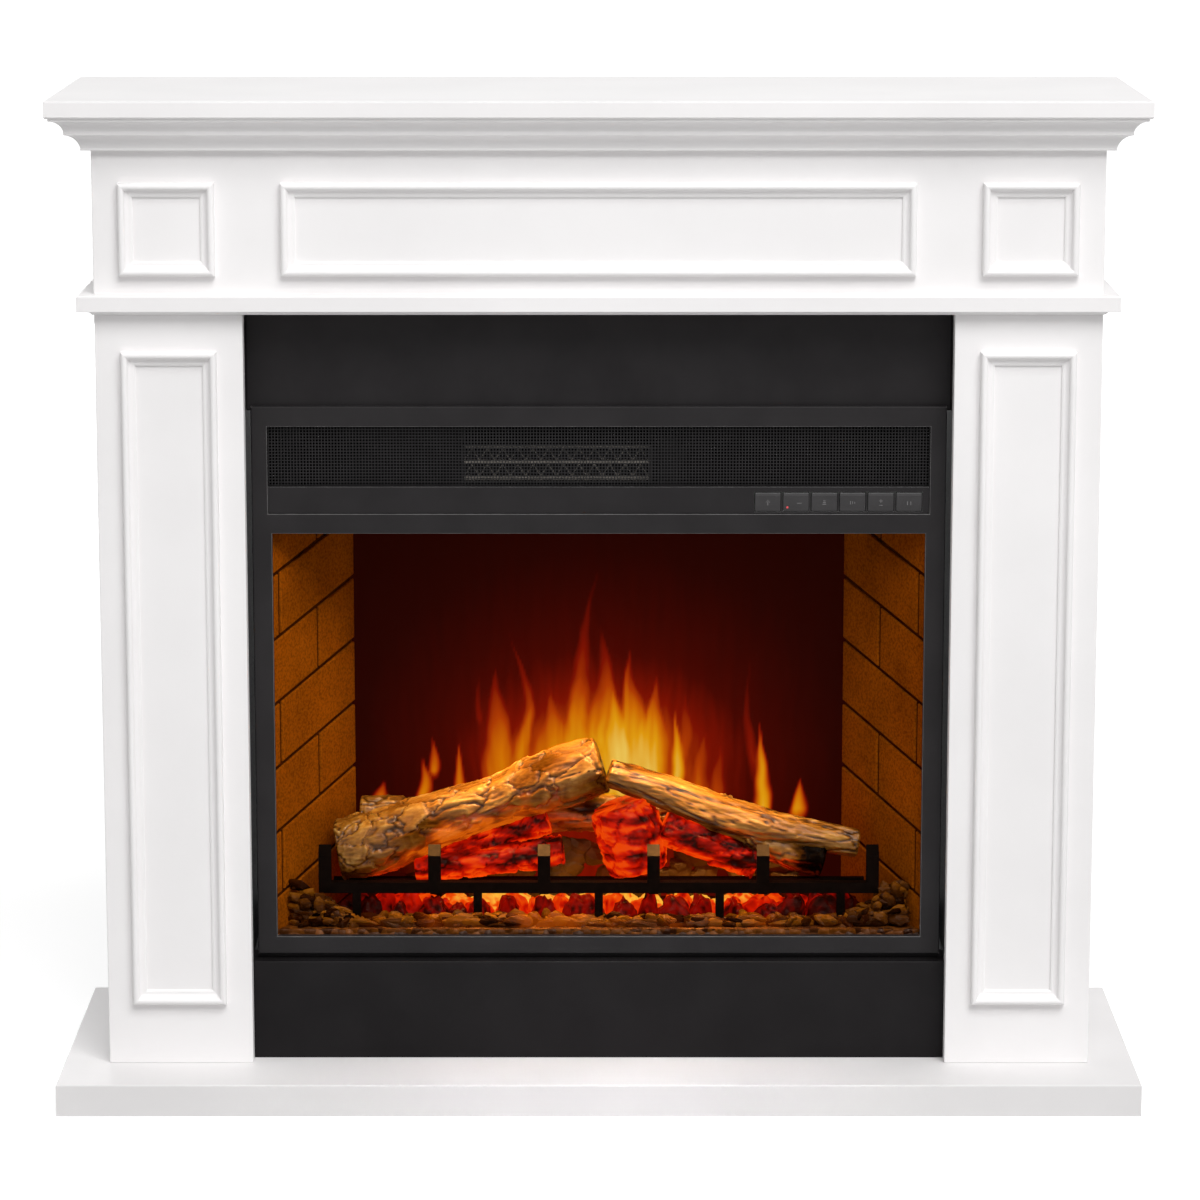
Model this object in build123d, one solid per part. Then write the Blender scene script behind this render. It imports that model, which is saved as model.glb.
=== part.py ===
from build123d import *
from math import atan2, cos, degrees, hypot, pi, radians, sin
import os

# An electric fireplace: a white mantel surround on a hearth slab, black fascia boards in its
# opening, and a firebox insert with a fan heater above a glazed log-fire effect.
# Millimetres, +Z up, +X to the viewer's right, +Y towards the wall.

# Surround boards
board = 18.0
fascia_board = 16.0
surround_width = 926.0
surround_depth = 262.0
pilaster_width = 136.0
pilaster_height = 713.0
frieze_height = 182.0
hearth_thickness = 30.0
hearth_side_overhang = 43.0
hearth_front_overhang = 72.0
shelf_thickness = 16.0
shelf_side_overhang = 38.0
shelf_front_overhang = 38.0
shelf_chamfer = 1.6
arris = 1.2

# Crown under the shelf: projections and heights of its two coves
crown_height = 31.0
crown_foot = 8.5
crown_foot_height = 2.5
crown_cove_run = 12.5
crown_cove_rise = 12.5
crown_fillet = 1.0
crown_fillet_height = 3.5
crown_cove_sag = 2.6

# Ledge between pilasters and frieze
ledge_height = 15.0
ledge_projection = 14.5
scotia_height = 4.0
scotia_projection = 9.0

# Planted panel mouldings
moulding_width = 13.0
moulding_depth = 9.0
panel_frame_width = 88.0
frieze_frame_height = 85.0
frieze_frame_rise = 17.0
centre_frame_width = 581.0
pilaster_frame_rise = 59.0
pilaster_frame_drop = 34.0

# Fascia, cheeks and the shelf that carries the insert
lower_fascia_height = 94.6
upper_fascia_lap = 30.0
cheek_depth = 206.0
platform_depth = 188.0
platform_thickness = 16.0

# Insert frame
frame_gap = 4.0
frame_rise = 5.0
frame_height = 524.4
frame_setback = 27.0
frame_depth = 8.0
frame_sheet = 1.5
frame_stile = 18.5
frame_top_rail = 19.0
frame_bottom_rail = 17.0
window_band = 18.5
outlet_inset = 15.0
outlet_height = 57.0
outlet_lap = 5.0

# Casing behind the frame
sheet = 1.2
casing_clear = 1.3
rear_bay = 47.0
casing_flange = 14.0
casing_drop = 6.0
glass_thickness = 4.0
glass_lap = 6.0
running_gap = 0.3
screw_shank = 1.7
screw_head = 3.6
screw_head_height = 2.2
screw_length = 8.0
screw_slot = 1.0
screw_slot_depth = 1.0
screw_end_gap = 30.0
gland_radius = 9.0
gland_bore = 3.6
gland_collar = 3.0
gland_collar_depth = 4.0
gland_lip = 2.0
gland_lip_depth = 3.0
gland_side_gap = 60.0
gland_rise = 40.0
intake_columns = 7
intake_rows = 4
intake_length = 34.0
intake_height = 5.0
intake_gap = 10.0
intake_pitch = 12.0
intake_rise = 24.0

# Controls
strip_height = 25.2
strip_recess = 2.5
strip_thickness = 2.5
key_count = 6
key_gap = 2.1
key_width = 24.2
key_height = 18.0
key_proud = 1.8
key_margin = 7.0
key_clearance = 0.3
key_flange = 0.7
key_flange_thickness = 1.5
key_travel = 1.5
key_stem = 5.0
key_stem_length = 2.4
lamp_key = 1
lamp_radius = 1.1
lamp_inset = 4.0
lamp_proud = 1.6
switch_size = 6.2
switch_height = 4.0
switch_gap = 0.5
circuit_board = 1.6
board_left_gap = 6.2
board_right_gap = 5.6
board_post = 3.0
board_post_height = 4.0
board_post_inset = 1.6
strip_return = 2.0
key_drop = 1.5
key_top_band = 3.0
key_top_lean = 1.0
key_foot_band = 6.5
key_foot_lean = 1.2
key_middle_lean = 0.3
key_flange_ease = 0.6
lamp_depth = 1.0

# Warm-air outlet and fan
grille_sheet = 1.0
grille_rows = 4
grille_columns = 36
grille_bar = 3.0
nozzle_width = 176.0
nozzle_height = 36.0
nozzle_depth = 22.0
nozzle_offset = -39.0
nozzle_rise = 39.0
fin_pitch = 7.0
fin_sheet = 0.7
element_bar = 3.0
wheel_radius = 26.0
wheel_blades = 20
wheel_blade = 1.0
wheel_disc = 2.0
wheel_shaft = 3.0
wheel_gap = 4.0
scroll_gap = 4.0
wheel_end_gap = 3.0
wheel_shaft_reach = 6.0
blade_lead = 9.0
blade_inset = 0.6
blade_depth = 6.76
scroll_margin = 4.0
tongue_gap = 2.0
tongue_height = 6.0
fan_back_gap = 14.0
fan_lift = 1.0
element_bars = 3
element_depth = 12.0
element_back_gap = 2.0
motor_radius = 24.0
motor_length = 34.0
motor_end = 5.0
shaft_clearance = 0.05

# Fire scene
screen_thickness = 3.0
brick_splay = 68.5
brick_thickness = 5.5
brick_course = 62.0
brick_rise = 38.7
brick_joint = 4.5
brick_joint_depth = 2.2
brick_first_joint = 48.8
screen_lap = 4.0
bed_height = 17.8
bed_wall = 4.0
stone_band = 20.0
stone_height = 12.0
stone_spread = 5.0
stone_heap = 16.0
stone_end_gap = 16.0
coal_rows = 3
coal_height = 17.0
coal_spread = 5.0
grate_bar = 10.5
grate_bar_bottom = 30.0
grate_end_gap = 37.5
grate_prong_count = 6
grate_prong_width = 12.0
grate_prong_height = 26.0
grate_prong_bevel = 9.0
grate_rail = 9.0
grate_rail_drop = 5.0
grate_leg = 8.0
grate_leg_count = 5
grate_leg_inset = 36.0
log_left_radius = 29.5
log_left_climb = 83.0
log_right_radius = 16.0
log_right_climb = 84.0
log_back_radius = 17.0
log_back_rise = 52.0
log_back_gap = 3.0
log_spacing = 2.0
ember_radius = 16.0
ember_low_climb = 19.0
ember_rear_climb = 45.0
ember_wide_climb = 35.0
ember_thin_climb = 34.0
spindle_radius = 2.5
spindle_reach = 13.0
spindle_end_gap = 16.5
spindle_gap = 8.0
spindle_height = 60.0
vane_count = 18
vane_sheet = 0.8
vane_end_gap = 30.0
bearing_post = 6.0
bearing_width = 16.0
bearing_cap = 10.0
gear_motor_radius = 19.0
gear_motor_length = 22.0
gear_motor_lap = 12.0
gear_motor_bore = 13.0
gear_foot = 10.0
gear_foot_width = 24.0
light_board = 24.0
light_chips = 11
light_chip = 6.0
light_chip_height = 1.4
light_post = 8.0
light_post_inset = 10.0

# Wall brackets
bracket_sheet = 2.5
bracket_leg = 34.0
bracket_height = 40.0
bracket_hole = 2.75
bracket_level = 640.0

# Derived stations
hearth_width = surround_width + 2 * hearth_side_overhang
hearth_depth = surround_depth + hearth_front_overhang
wall = hearth_depth / 2
front = wall - surround_depth
board_back = front + board
half = surround_width / 2
opening = half - pilaster_width
hearth_top = hearth_thickness
pilaster_top = hearth_top + pilaster_height
shelf_bottom = pilaster_top + frieze_height
ledge_bottom = pilaster_top + scotia_height
ledge_top = ledge_bottom + ledge_height
panel_centre = opening + pilaster_width / 2

lower_fascia_top = hearth_top + lower_fascia_height
frame_front = front + frame_setback
frame_back = frame_front + frame_depth
upper_fascia_front = frame_back
frame_half = opening - frame_gap
frame_bottom = lower_fascia_top + frame_rise
frame_top = frame_bottom + frame_height
platform_top = frame_bottom + frame_sheet + running_gap
platform_front = max(frame_back + running_gap, board_back + fascia_board)
window_half = frame_half - frame_stile
window_bottom = frame_bottom + frame_bottom_rail
outlet_half = frame_half - outlet_inset
outlet_top = frame_top - frame_top_rail
strip_top = outlet_top - outlet_height
outlet_bottom = strip_top - strip_height
window_top = outlet_bottom - window_band

casing_inner = outlet_half + frame_sheet + casing_clear
casing_half = casing_inner + sheet
casing_front = frame_front + frame_sheet
casing_top_z = frame_top - casing_drop
casing_floor = platform_top + sheet
glass_back = frame_back + glass_thickness
glass_top = window_top + glass_lap
bay_floor = glass_top + running_gap + sheet
gland_x = casing_half - gland_side_gap
gland_z = platform_top + gland_rise
grille_back = frame_back + grille_sheet

firebox_depth = stone_band + grate_bar + 2 * log_left_radius + 2 * log_back_radius + log_spacing
brick_front = glass_back + running_gap
screen_front = brick_front + firebox_depth
screen_back = screen_front + screen_thickness
casing_back_y = screen_back + rear_bay
lining_half = casing_inner - running_gap - brick_thickness
screen_half_width = lining_half - brick_splay
bed_top = casing_floor + bed_height
brick_length = hypot(brick_splay, firebox_depth)

nozzle_x = nozzle_offset
nozzle_z = bay_floor + nozzle_rise + nozzle_height / 2
nozzle_back = grille_back + nozzle_depth
fan_y = nozzle_back + wheel_radius + wheel_gap + fan_back_gap
fan_z = nozzle_z + fan_lift
fan_left = nozzle_x - nozzle_width / 2
fan_right = nozzle_x + nozzle_width / 2

key_pitch = key_width + key_gap
key_first = outlet_half - key_margin - key_width / 2 - (key_count - 1) * key_pitch
key_z = outlet_bottom + strip_height / 2 - key_drop
strip_front = frame_front + strip_recess
strip_back = strip_front + strip_thickness
flange_back = strip_back + key_flange_thickness
stem_end = flange_back + key_stem_length
switch_front = stem_end + key_travel + switch_gap
board_front = switch_front + switch_height
board_low = key_first - key_width / 2 - board_left_gap
board_high = key_first + (key_count - 1) * key_pitch + key_width / 2 + board_right_gap

grate_front = glass_back + stone_band
grate_back = grate_front + grate_bar
bar_bottom = bed_top + grate_bar_bottom
bar_top = bar_bottom + grate_bar
rail_top = bar_top - grate_rail_drop
grate_half_width = window_half - grate_end_gap
grate_prong_pitch = (2 * grate_half_width - grate_prong_width) / (grate_prong_count - 1)
spindle_y = screen_back + spindle_gap + spindle_reach
spindle_half = screen_half_width - spindle_end_gap
spindle_z = casing_floor + spindle_height


def block(xs, ys, zs):
    """Box between low and high values on each axis."""
    size = (xs[1] - xs[0], ys[1] - ys[0], zs[1] - zs[0])
    return Pos(sum(xs) / 2, sum(ys) / 2, sum(zs) / 2) * Box(*size)


def span(centre, width):
    return (centre - width / 2, centre + width / 2)


def outline(points):
    """Face inside a closed run of straight lines."""
    return Face(Wire.make_polygon([Vector(*p) for p in points]))


def prism(points, bottom, top):
    """Upright prism over a plan outline."""
    plan = outline([(x, y, bottom) for x, y in points])
    return extrude(plan, amount=top - bottom, dir=(0, 0, 1))


def along_x(points, x_low, x_high):
    """Prism along X over an outline of (y, z) points."""
    face = outline([(x_low, y, z) for y, z in points])
    return extrude(face, amount=x_high - x_low, dir=(1, 0, 0))


def rod_x(x_low, x_high, y, z, radius):
    face = Plane(origin=(x_low, y, z), x_dir=(0, 1, 0), z_dir=(1, 0, 0)) * Circle(radius)
    return extrude(face, amount=x_high - x_low, dir=(1, 0, 0))


def rod_y(x, z, y_low, y_high, radius):
    face = Plane(origin=(x, y_low, z), x_dir=(1, 0, 0), z_dir=(0, 1, 0)) * Circle(radius)
    return extrude(face, amount=y_high - y_low, dir=(0, 1, 0))


def mirrored(shape):
    return mirror(shape, about=Plane.YZ)


def solids(shapes):
    """Group of separate solids kept in one file."""
    found = []
    for shape in shapes:
        found.extend(shape.solids())
    return Compound(found)


# Surround

def hearth_slab():
    slab = block((-hearth_width / 2, hearth_width / 2), (-wall, wall), (0, hearth_top))
    rounded = slab.faces().sort_by(Axis.Z)[-1].edges().sort_by(Axis.Y)[:-1]
    return fillet(rounded, arris)


def mantel_shelf():
    width = surround_width + 2 * shelf_side_overhang
    depth = (front - shelf_front_overhang, wall)
    shelf = block((-width / 2, width / 2), depth, (shelf_bottom, shelf_bottom + shelf_thickness))
    shelf = fillet(shelf.faces().sort_by(Axis.Z)[-1].edges().sort_by(Axis.Y)[:-1], arris)
    return chamfer(shelf.faces().sort_by(Axis.Z)[0].edges().sort_by(Axis.Y)[:-1], shelf_chamfer)


def side_panel():
    return block((half - board, half), (board_back, wall), (hearth_top, shelf_bottom))


def pilaster_board():
    return block((opening, half), (front, board_back), (hearth_top, pilaster_top))


def inner_cheek():
    depth = (board_back, board_back + cheek_depth)
    return block((opening, opening + board), depth, (hearth_top, pilaster_top))


def frieze_board():
    return block((-half, half), (front, board_back), (pilaster_top, shelf_bottom))


def back_rail():
    level = (shelf_bottom - pilaster_width / 2, shelf_bottom)
    return block((-half + board, half - board), (wall - 2 * board, wall - board), level)


def crown_section():
    """Two coves with a fillet between, as (projection, height) above the crown's foot."""
    base = shelf_bottom - crown_height
    x1 = crown_foot
    z1 = base + crown_foot_height
    x2 = x1 + crown_cove_run
    z2 = z1 + crown_cove_rise
    x3 = x2 + crown_fillet
    z3 = z2 + crown_fillet_height
    x4 = x3 + crown_cove_run
    z4 = shelf_bottom - crown_foot_height
    push = crown_cove_sag / 2 ** 0.5
    lower_mid = ((x1 + x2) / 2 - push, (z1 + z2) / 2 + push)
    upper_mid = ((x3 + x4) / 2 - push, (z3 + z4) / 2 + push)
    edges = [
        Polyline((0, shelf_bottom), (0, base), (x1, base), (x1, z1)),
        ThreePointArc((x1, z1), lower_mid, (x2, z2)),
        Polyline((x2, z2), (x3, z2), (x3, z3)),
        ThreePointArc((x3, z3), upper_mid, (x4, z4)),
        Polyline((x4, z4), (x4, shelf_bottom), (0, shelf_bottom)),
    ]
    return make_face(edges), x4


def ledge_section():
    """Flat ledge with a small scotia under it."""
    mid = (scotia_projection * 0.45, pilaster_top + scotia_height * 0.62)
    edges = [
        Polyline((0, ledge_top), (0, pilaster_top), (1.5, pilaster_top)),
        ThreePointArc((1.5, pilaster_top), mid, (scotia_projection, ledge_bottom)),
        Polyline(
            (scotia_projection, ledge_bottom),
            (ledge_projection, ledge_bottom),
            (ledge_projection, ledge_top - arris),
            (ledge_projection - arris, ledge_top),
            (0, ledge_top),
        ),
    ]
    return make_face(edges), ledge_projection


def mitred_run(section, reach):
    """One front length and two returns to the wall, mitred where they meet."""
    edge = reach + 5
    front_plane = Plane(origin=(half + edge, front, 0), x_dir=(0, -1, 0), z_dir=(-1, 0, 0))
    side_plane = Plane(origin=(half, wall, 0), x_dir=(1, 0, 0), z_dir=(0, -1, 0))
    front_bar = extrude(front_plane * section, amount=2 * (half + edge), dir=(-1, 0, 0))
    side_bar = extrude(side_plane * section, amount=surround_depth + edge, dir=(0, -1, 0))
    corner = (half + edge, front - edge)
    low, high = hearth_top, shelf_bottom + shelf_thickness
    front_plan = [(-half, front), (half, front), corner, (-corner[0], corner[1])]
    side_plan = [(half, wall), (half + edge, wall), corner, (half, front)]
    front_length = front_bar & prism(front_plan, low, high)
    side_length = side_bar & prism(side_plan, low, high)
    return solids([front_length, side_length, mirrored(side_length)])


def moulding_section():
    """Bead on the outer edge, then two steps down to the panel; (across, proud)."""
    wide, proud = moulding_width, moulding_depth
    edges = [
        Polyline((0, 0), (0, proud * 0.6)),
        ThreePointArc((0, proud * 0.6), (wide * 0.24, proud), (wide * 0.48, proud * 0.72)),
        Polyline((wide * 0.48, proud * 0.72), (wide * 0.48, proud * 0.55)),
        ThreePointArc(
            (wide * 0.48, proud * 0.55), (wide * 0.66, proud * 0.34), (wide * 0.88, proud * 0.28)
        ),
        Polyline((wide * 0.88, proud * 0.28), (wide, proud * 0.2), (wide, 0), (0, 0)),
    ]
    return make_face(edges)


def moulding_length(length):
    """Length of panel moulding along X, mitred inwards at both ends."""
    plane = Plane(origin=(0, 0, 0), x_dir=(0, 0, 1), z_dir=(1, 0, 0))
    bar = extrude(plane * moulding_section(), amount=length, dir=(1, 0, 0))
    wide = moulding_width
    cut = outline([(0, 0, 0), (length, 0, 0), (length - wide, 0, wide), (wide, 0, wide)])
    return bar & extrude(cut, amount=moulding_depth + 1, dir=(0, -1, 0))


def moulding_frame(x_centre, width, z_low, z_high):
    """Four mitred lengths planted on the front face as a frame."""
    left, right = span(x_centre, width)
    tall = z_high - z_low
    across, upright = moulding_length(width), moulding_length(tall)
    return solids([
        Pos(left, front, z_low) * across,
        Pos(right, front, z_low) * Rot(0, -90, 0) * upright,
        Pos(right, front, z_high) * Rot(0, 180, 0) * across,
        Pos(left, front, z_high) * Rot(0, 90, 0) * upright,
    ])


def upper_fascia():
    depth = (upper_fascia_front, upper_fascia_front + fascia_board)
    return block((-opening, opening), depth, (casing_top_z + 1, pilaster_top + upper_fascia_lap))


def soffit_batten():
    """Batten that closes the space between the frieze board and the upper fascia."""
    depth = (board_back, upper_fascia_front)
    return block((-opening, opening), depth, (pilaster_top, pilaster_top + board))


def lower_fascia():
    panel = block(
        (-opening, opening), (board_back, board_back + fascia_board), (hearth_top, lower_fascia_top)
    )
    return fillet(panel.edges().filter_by(Axis.X).group_by(Axis.Z)[-1].sort_by(Axis.Y)[:1], arris)


def insert_platform():
    depth = (platform_front, platform_front + platform_depth)
    level = (platform_top - platform_thickness, platform_top)
    return block((-opening, opening), depth, level)


def wall_brackets():
    """Steel angles inside the side panels, one leg screwed on and one flat against the wall."""
    inside = half - board
    level = span(bracket_level, bracket_height)
    fixed_leg = block((inside - bracket_sheet, inside), (wall - bracket_leg, wall), level)
    wall_leg = block((inside - bracket_leg, inside), (wall - bracket_sheet, wall), level)
    centre = inside - bracket_leg / 2 - bracket_sheet / 2
    hole = rod_y(centre, bracket_level, wall - bracket_sheet - 1, wall + 1, bracket_hole)
    bracket = fixed_leg + wall_leg - hole
    return solids([bracket, mirrored(bracket)])


# Insert

def front_frame():
    """Folded sheet surround, open at the back, with returns round the window and the outlet."""
    window = ((-window_half, window_half), (window_bottom, window_top))
    outlet = ((-outlet_half, outlet_half), (outlet_bottom, outlet_top))
    depth = (frame_front, frame_back)
    frame = block((-frame_half, frame_half), depth, (frame_bottom, frame_top))
    frame = fillet(frame.faces().sort_by(Axis.Y)[0].edges(), frame_sheet * 0.8)
    hollow = block(
        (-frame_half + frame_sheet, frame_half - frame_sheet),
        (frame_front + frame_sheet, frame_back + 1),
        (frame_bottom + frame_sheet, frame_top - frame_sheet),
    )
    through = (frame_front - 1, frame_back + 2)
    for xs, zs in (window, outlet):
        collar_xs = (xs[0] - frame_sheet, xs[1] + frame_sheet)
        collar_zs = (zs[0] - frame_sheet, zs[1] + frame_sheet)
        hollow -= block(collar_xs, through, collar_zs)
    frame -= hollow
    for xs, zs in (window, outlet):
        frame -= block(xs, through, zs)
    return frame


def casing_side():
    """Side sheet with a flange at the back for the rear cover."""
    level = (platform_top, casing_top_z)
    wall_sheet = block((casing_inner, casing_half), (casing_front, casing_back_y - sheet), level)
    flange_depth = (casing_back_y - 2 * sheet, casing_back_y - sheet)
    flange = block((casing_half - casing_flange, casing_half), flange_depth, level)
    side = wall_sheet + flange
    for level in screw_levels():
        hole = screw_shank + shaft_clearance
        side -= rod_y(screw_x(), level, casing_back_y - screw_length, casing_back_y, hole)
    return side


def screw_x():
    return casing_half - casing_flange / 2


def screw_levels():
    low, high = platform_top + screw_end_gap, casing_top_z - screw_end_gap
    return [low, (low + high) / 2, high]


def casing_back():
    """Rear cover with intake slots for the fan, a cord hole and screw holes."""
    cover = block(
        (-casing_half, casing_half), (casing_back_y - sheet, casing_back_y), (platform_top, casing_top_z)
    )
    through = (casing_back_y - 2 * sheet, casing_back_y + sheet)
    for row in range(intake_rows):
        level = bay_floor + intake_rise + row * intake_pitch
        for column in range(intake_columns):
            centre = nozzle_x + (column - (intake_columns - 1) / 2) * (intake_length + intake_gap)
            cover -= block(span(centre, intake_length), through, span(level, intake_height))
    cover -= rod_y(gland_x, gland_z, *through, gland_radius + shaft_clearance)
    for side in (-1, 1):
        for level in screw_levels():
            cover -= rod_y(side * screw_x(), level, *through, screw_shank + shaft_clearance)
    return cover


def cord_gland():
    """Rubber inlet bush for the mains lead."""
    inside = casing_back_y - sheet
    lip_end = inside - gland_lip_depth
    collar_end = casing_back_y + gland_collar_depth
    bush = rod_y(gland_x, gland_z, lip_end, casing_back_y, gland_radius)
    collar = rod_y(gland_x, gland_z, casing_back_y, collar_end, gland_radius + gland_collar)
    lip = rod_y(gland_x, gland_z, lip_end, inside, gland_radius + gland_lip)
    bore = rod_y(gland_x, gland_z, lip_end - sheet, collar_end + sheet, gland_bore)
    return bush + collar + lip - bore


def cover_screws():
    """Six pan-head screws that hold the rear cover to the flanges."""
    made = []
    for side in (-1, 1):
        for level in screw_levels():
            x = side * screw_x()
            head = rod_y(x, level, casing_back_y, casing_back_y + screw_head_height, screw_head)
            shank = rod_y(x, level, casing_back_y - screw_length, casing_back_y, screw_shank)
            head_end = casing_back_y + screw_head_height
            slot_depth = (head_end - screw_slot_depth, head_end + screw_slot_depth)
            slot = block(span(x, 1.4 * screw_head), slot_depth, span(level, screw_slot))
            made.append(head + shank - slot)
    return solids(made)


def casing_top():
    level = (casing_top_z - sheet, casing_top_z)
    return block((-casing_inner, casing_inner), (casing_front, casing_back_y - 2 * sheet), level)


def casing_bottom():
    level = (platform_top, casing_floor)
    return block((-casing_inner, casing_inner), (casing_front, casing_back_y - 2 * sheet), level)


def heater_partition():
    depth = (glass_back - glass_thickness, casing_back_y - 2 * sheet)
    return block((-casing_inner, casing_inner), depth, (bay_floor - sheet, bay_floor))


def glass_pane():
    level = (casing_floor + running_gap, glass_top)
    width = casing_inner - running_gap
    return block((-width, width), (frame_back, glass_back), level)


def control_panel():
    """Strip with an opening for each key, a top return and two posts for the switch board."""
    width = outlet_half - running_gap
    bottom = outlet_bottom + running_gap
    strip = block((-width, width), (strip_front, strip_back), (bottom, strip_top))
    strip += block((-width, width), (strip_back, frame_back), (strip_top - strip_return, strip_top))
    for index in range(key_count):
        centre = key_first + index * key_pitch
        hole_width = key_width + 2 * key_clearance
        hole_height = key_height + 2 * key_clearance
        through = (strip_front - 1, strip_back + 1)
        strip -= block(span(centre, hole_width), through, span(key_z, hole_height))
    for centre in (board_low + board_post_inset, board_high - board_post_inset):
        depth = (strip_back, board_front)
        strip += block(span(centre, board_post), depth, span(key_z, board_post_height))
    return strip


def key(index):
    """Push key: crowned face, flange behind the strip, stem to its switch."""
    centre = key_first + index * key_pitch
    face_front = strip_front - key_proud
    wide = span(centre, key_width)
    low, high = span(key_z, key_height)
    face = along_x(
        [
            (strip_back, low),
            (strip_back, high),
            (face_front + key_top_lean, high),
            (face_front, high - key_top_band),
            (face_front + key_middle_lean, low + key_foot_band),
            (face_front + key_foot_lean, low),
        ],
        *wide,
    )
    flange_width = key_width + 2 * key_clearance + 2 * key_flange
    flange_height = key_height + 2 * key_clearance + 2 * key_flange
    flange_depth = (strip_back, flange_back)
    flange = block(span(centre, flange_width - key_flange_ease), flange_depth, span(key_z, flange_height))
    stem = block(span(centre, key_stem), (flange_back, stem_end), span(key_z, key_stem))
    made = face + flange + stem
    if index == lamp_key:
        hole = lamp_radius + shaft_clearance
        made -= rod_y(*lamp_place(), face_front - lamp_proud, strip_back - lamp_depth, hole)
    return made


def lamp_place():
    """Lower left corner of the lit key, as (x, z)."""
    x = key_first + lamp_key * key_pitch - key_width / 2 + lamp_inset
    return (x, key_z - key_height / 2 + lamp_inset)


def key_lamp():
    """Round lens that shows red when the power is on."""
    lens = rod_y(*lamp_place(), strip_front - lamp_proud, strip_back - lamp_depth, lamp_radius)
    return fillet(lens.faces().sort_by(Axis.Y)[0].edges(), lamp_radius * 0.4)


def switch_board():
    """Circuit board with one tactile switch behind each key."""
    made = block(
        (board_low, board_high), (board_front, board_front + circuit_board), span(key_z, key_height)
    )
    for index in range(key_count):
        centre = key_first + index * key_pitch
        made += block(span(centre, switch_size), (switch_front, board_front), span(key_z, switch_size))
    return made


def outlet_grille():
    """Mesh plate behind the outlet opening."""
    left, right = -outlet_half - outlet_lap / 2, outlet_half + outlet_lap / 2
    low, high = strip_top + running_gap, outlet_top + outlet_lap
    plate = block((left, right), (frame_back, grille_back), (low, high))
    pitch_x = (right - left - grille_bar) / grille_columns
    pitch_z = (high - low - grille_bar) / grille_rows
    hole = Box(pitch_x - grille_bar, 5 * grille_sheet, pitch_z - grille_bar)
    places = []
    for row in range(grille_rows):
        for column in range(grille_columns):
            x = left + grille_bar / 2 + (column + 0.5) * pitch_x
            z = low + grille_bar / 2 + (row + 0.5) * pitch_z
            places.append(Pos(x, frame_back, z) * hole)
    return plate - places


def heater_nozzle():
    """Rectangular duct from the heating element to the grille."""
    outer = block(
        (fan_left, fan_right), (grille_back, nozzle_back), span(nozzle_z, nozzle_height)
    )
    inner = block(
        (fan_left + sheet, fan_right - sheet),
        (grille_back - 1, nozzle_back + 1),
        span(nozzle_z, nozzle_height - 2 * sheet),
    )
    return outer - inner


def zigzag(x_low, x_high, z_low, z_high, depth):
    """Folded fin strip along X between two levels."""
    count = int((x_high - x_low) / fin_pitch)
    step = (x_high - x_low - fin_sheet * 2) / count
    lower, upper = [], []
    for index in range(count + 1):
        x = x_low + index * step
        z = z_low if index % 2 == 0 else z_high - fin_sheet
        lower.append((x, depth[0], z))
        upper.append((x, depth[0], z + fin_sheet))
    face = outline(lower + upper[::-1])
    return extrude(face, amount=depth[1] - depth[0], dir=(0, 1, 0))


def ptc_heater():
    """Ceramic heating bars with folded aluminium fins between them."""
    back = nozzle_back - element_back_gap
    depth = (back - element_depth, back)
    xs = (fan_left + sheet + running_gap, fan_right - sheet - running_gap)
    room = nozzle_height - 2 * sheet - 2 * running_gap
    low = nozzle_z - room / 2
    tall = (room - element_bars * element_bar) / (element_bars - 1)
    made = []
    for index in range(element_bars):
        z = low + index * (tall + element_bar)
        made.append(block(xs, depth, (z, z + element_bar)))
    for index in range(element_bars - 1):
        z = low + element_bar + index * (tall + element_bar)
        made.append(zigzag(*xs, z, z + tall, depth))
    heater = made[0]
    for piece in made[1:]:
        heater += piece
    return heater


def blower_housing():
    """Scroll and throat of the cross-flow fan between two end plates."""
    inner = wheel_radius + scroll_gap
    outer = inner + sheet

    def point(radius, angle):
        return (fan_y + radius * cos(radians(angle)), fan_z + radius * sin(radians(angle)))

    first, last, tongue_angle = -112, 62, 132
    middle = (first + last) / 2
    throat = nozzle_z - nozzle_height / 2
    scroll = make_face([
        ThreePointArc(point(inner, first), point(inner, middle), point(inner, last)),
        Polyline(point(inner, last), point(outer, last)),
        ThreePointArc(point(outer, last), point(outer, middle), point(outer, first)),
        Polyline(
            point(outer, first), (nozzle_back, throat), (nozzle_back, throat + sheet), point(inner, first)
        ),
    ])
    plane = Plane(origin=(fan_left, 0, 0), x_dir=(0, 1, 0), z_dir=(1, 0, 0))
    housing = extrude(plane * scroll, amount=nozzle_width, dir=(1, 0, 0))
    top = nozzle_z + nozzle_height / 2
    tip = point(inner + tongue_gap, tongue_angle)
    tongue = [(nozzle_back, top), (nozzle_back, top - sheet), tip, (tip[0], tip[1] + tongue_height)]
    housing += along_x(tongue, fan_left, fan_right)
    for x in (fan_left, fan_right - sheet):
        reach = outer + scroll_margin
        housing += block((x, x + sheet), (nozzle_back, fan_y + reach), (bay_floor, fan_z + reach))
    bore = wheel_shaft + shaft_clearance
    return housing - rod_x(fan_left - sheet, fan_right + sheet, fan_y, fan_z, bore)


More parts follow.
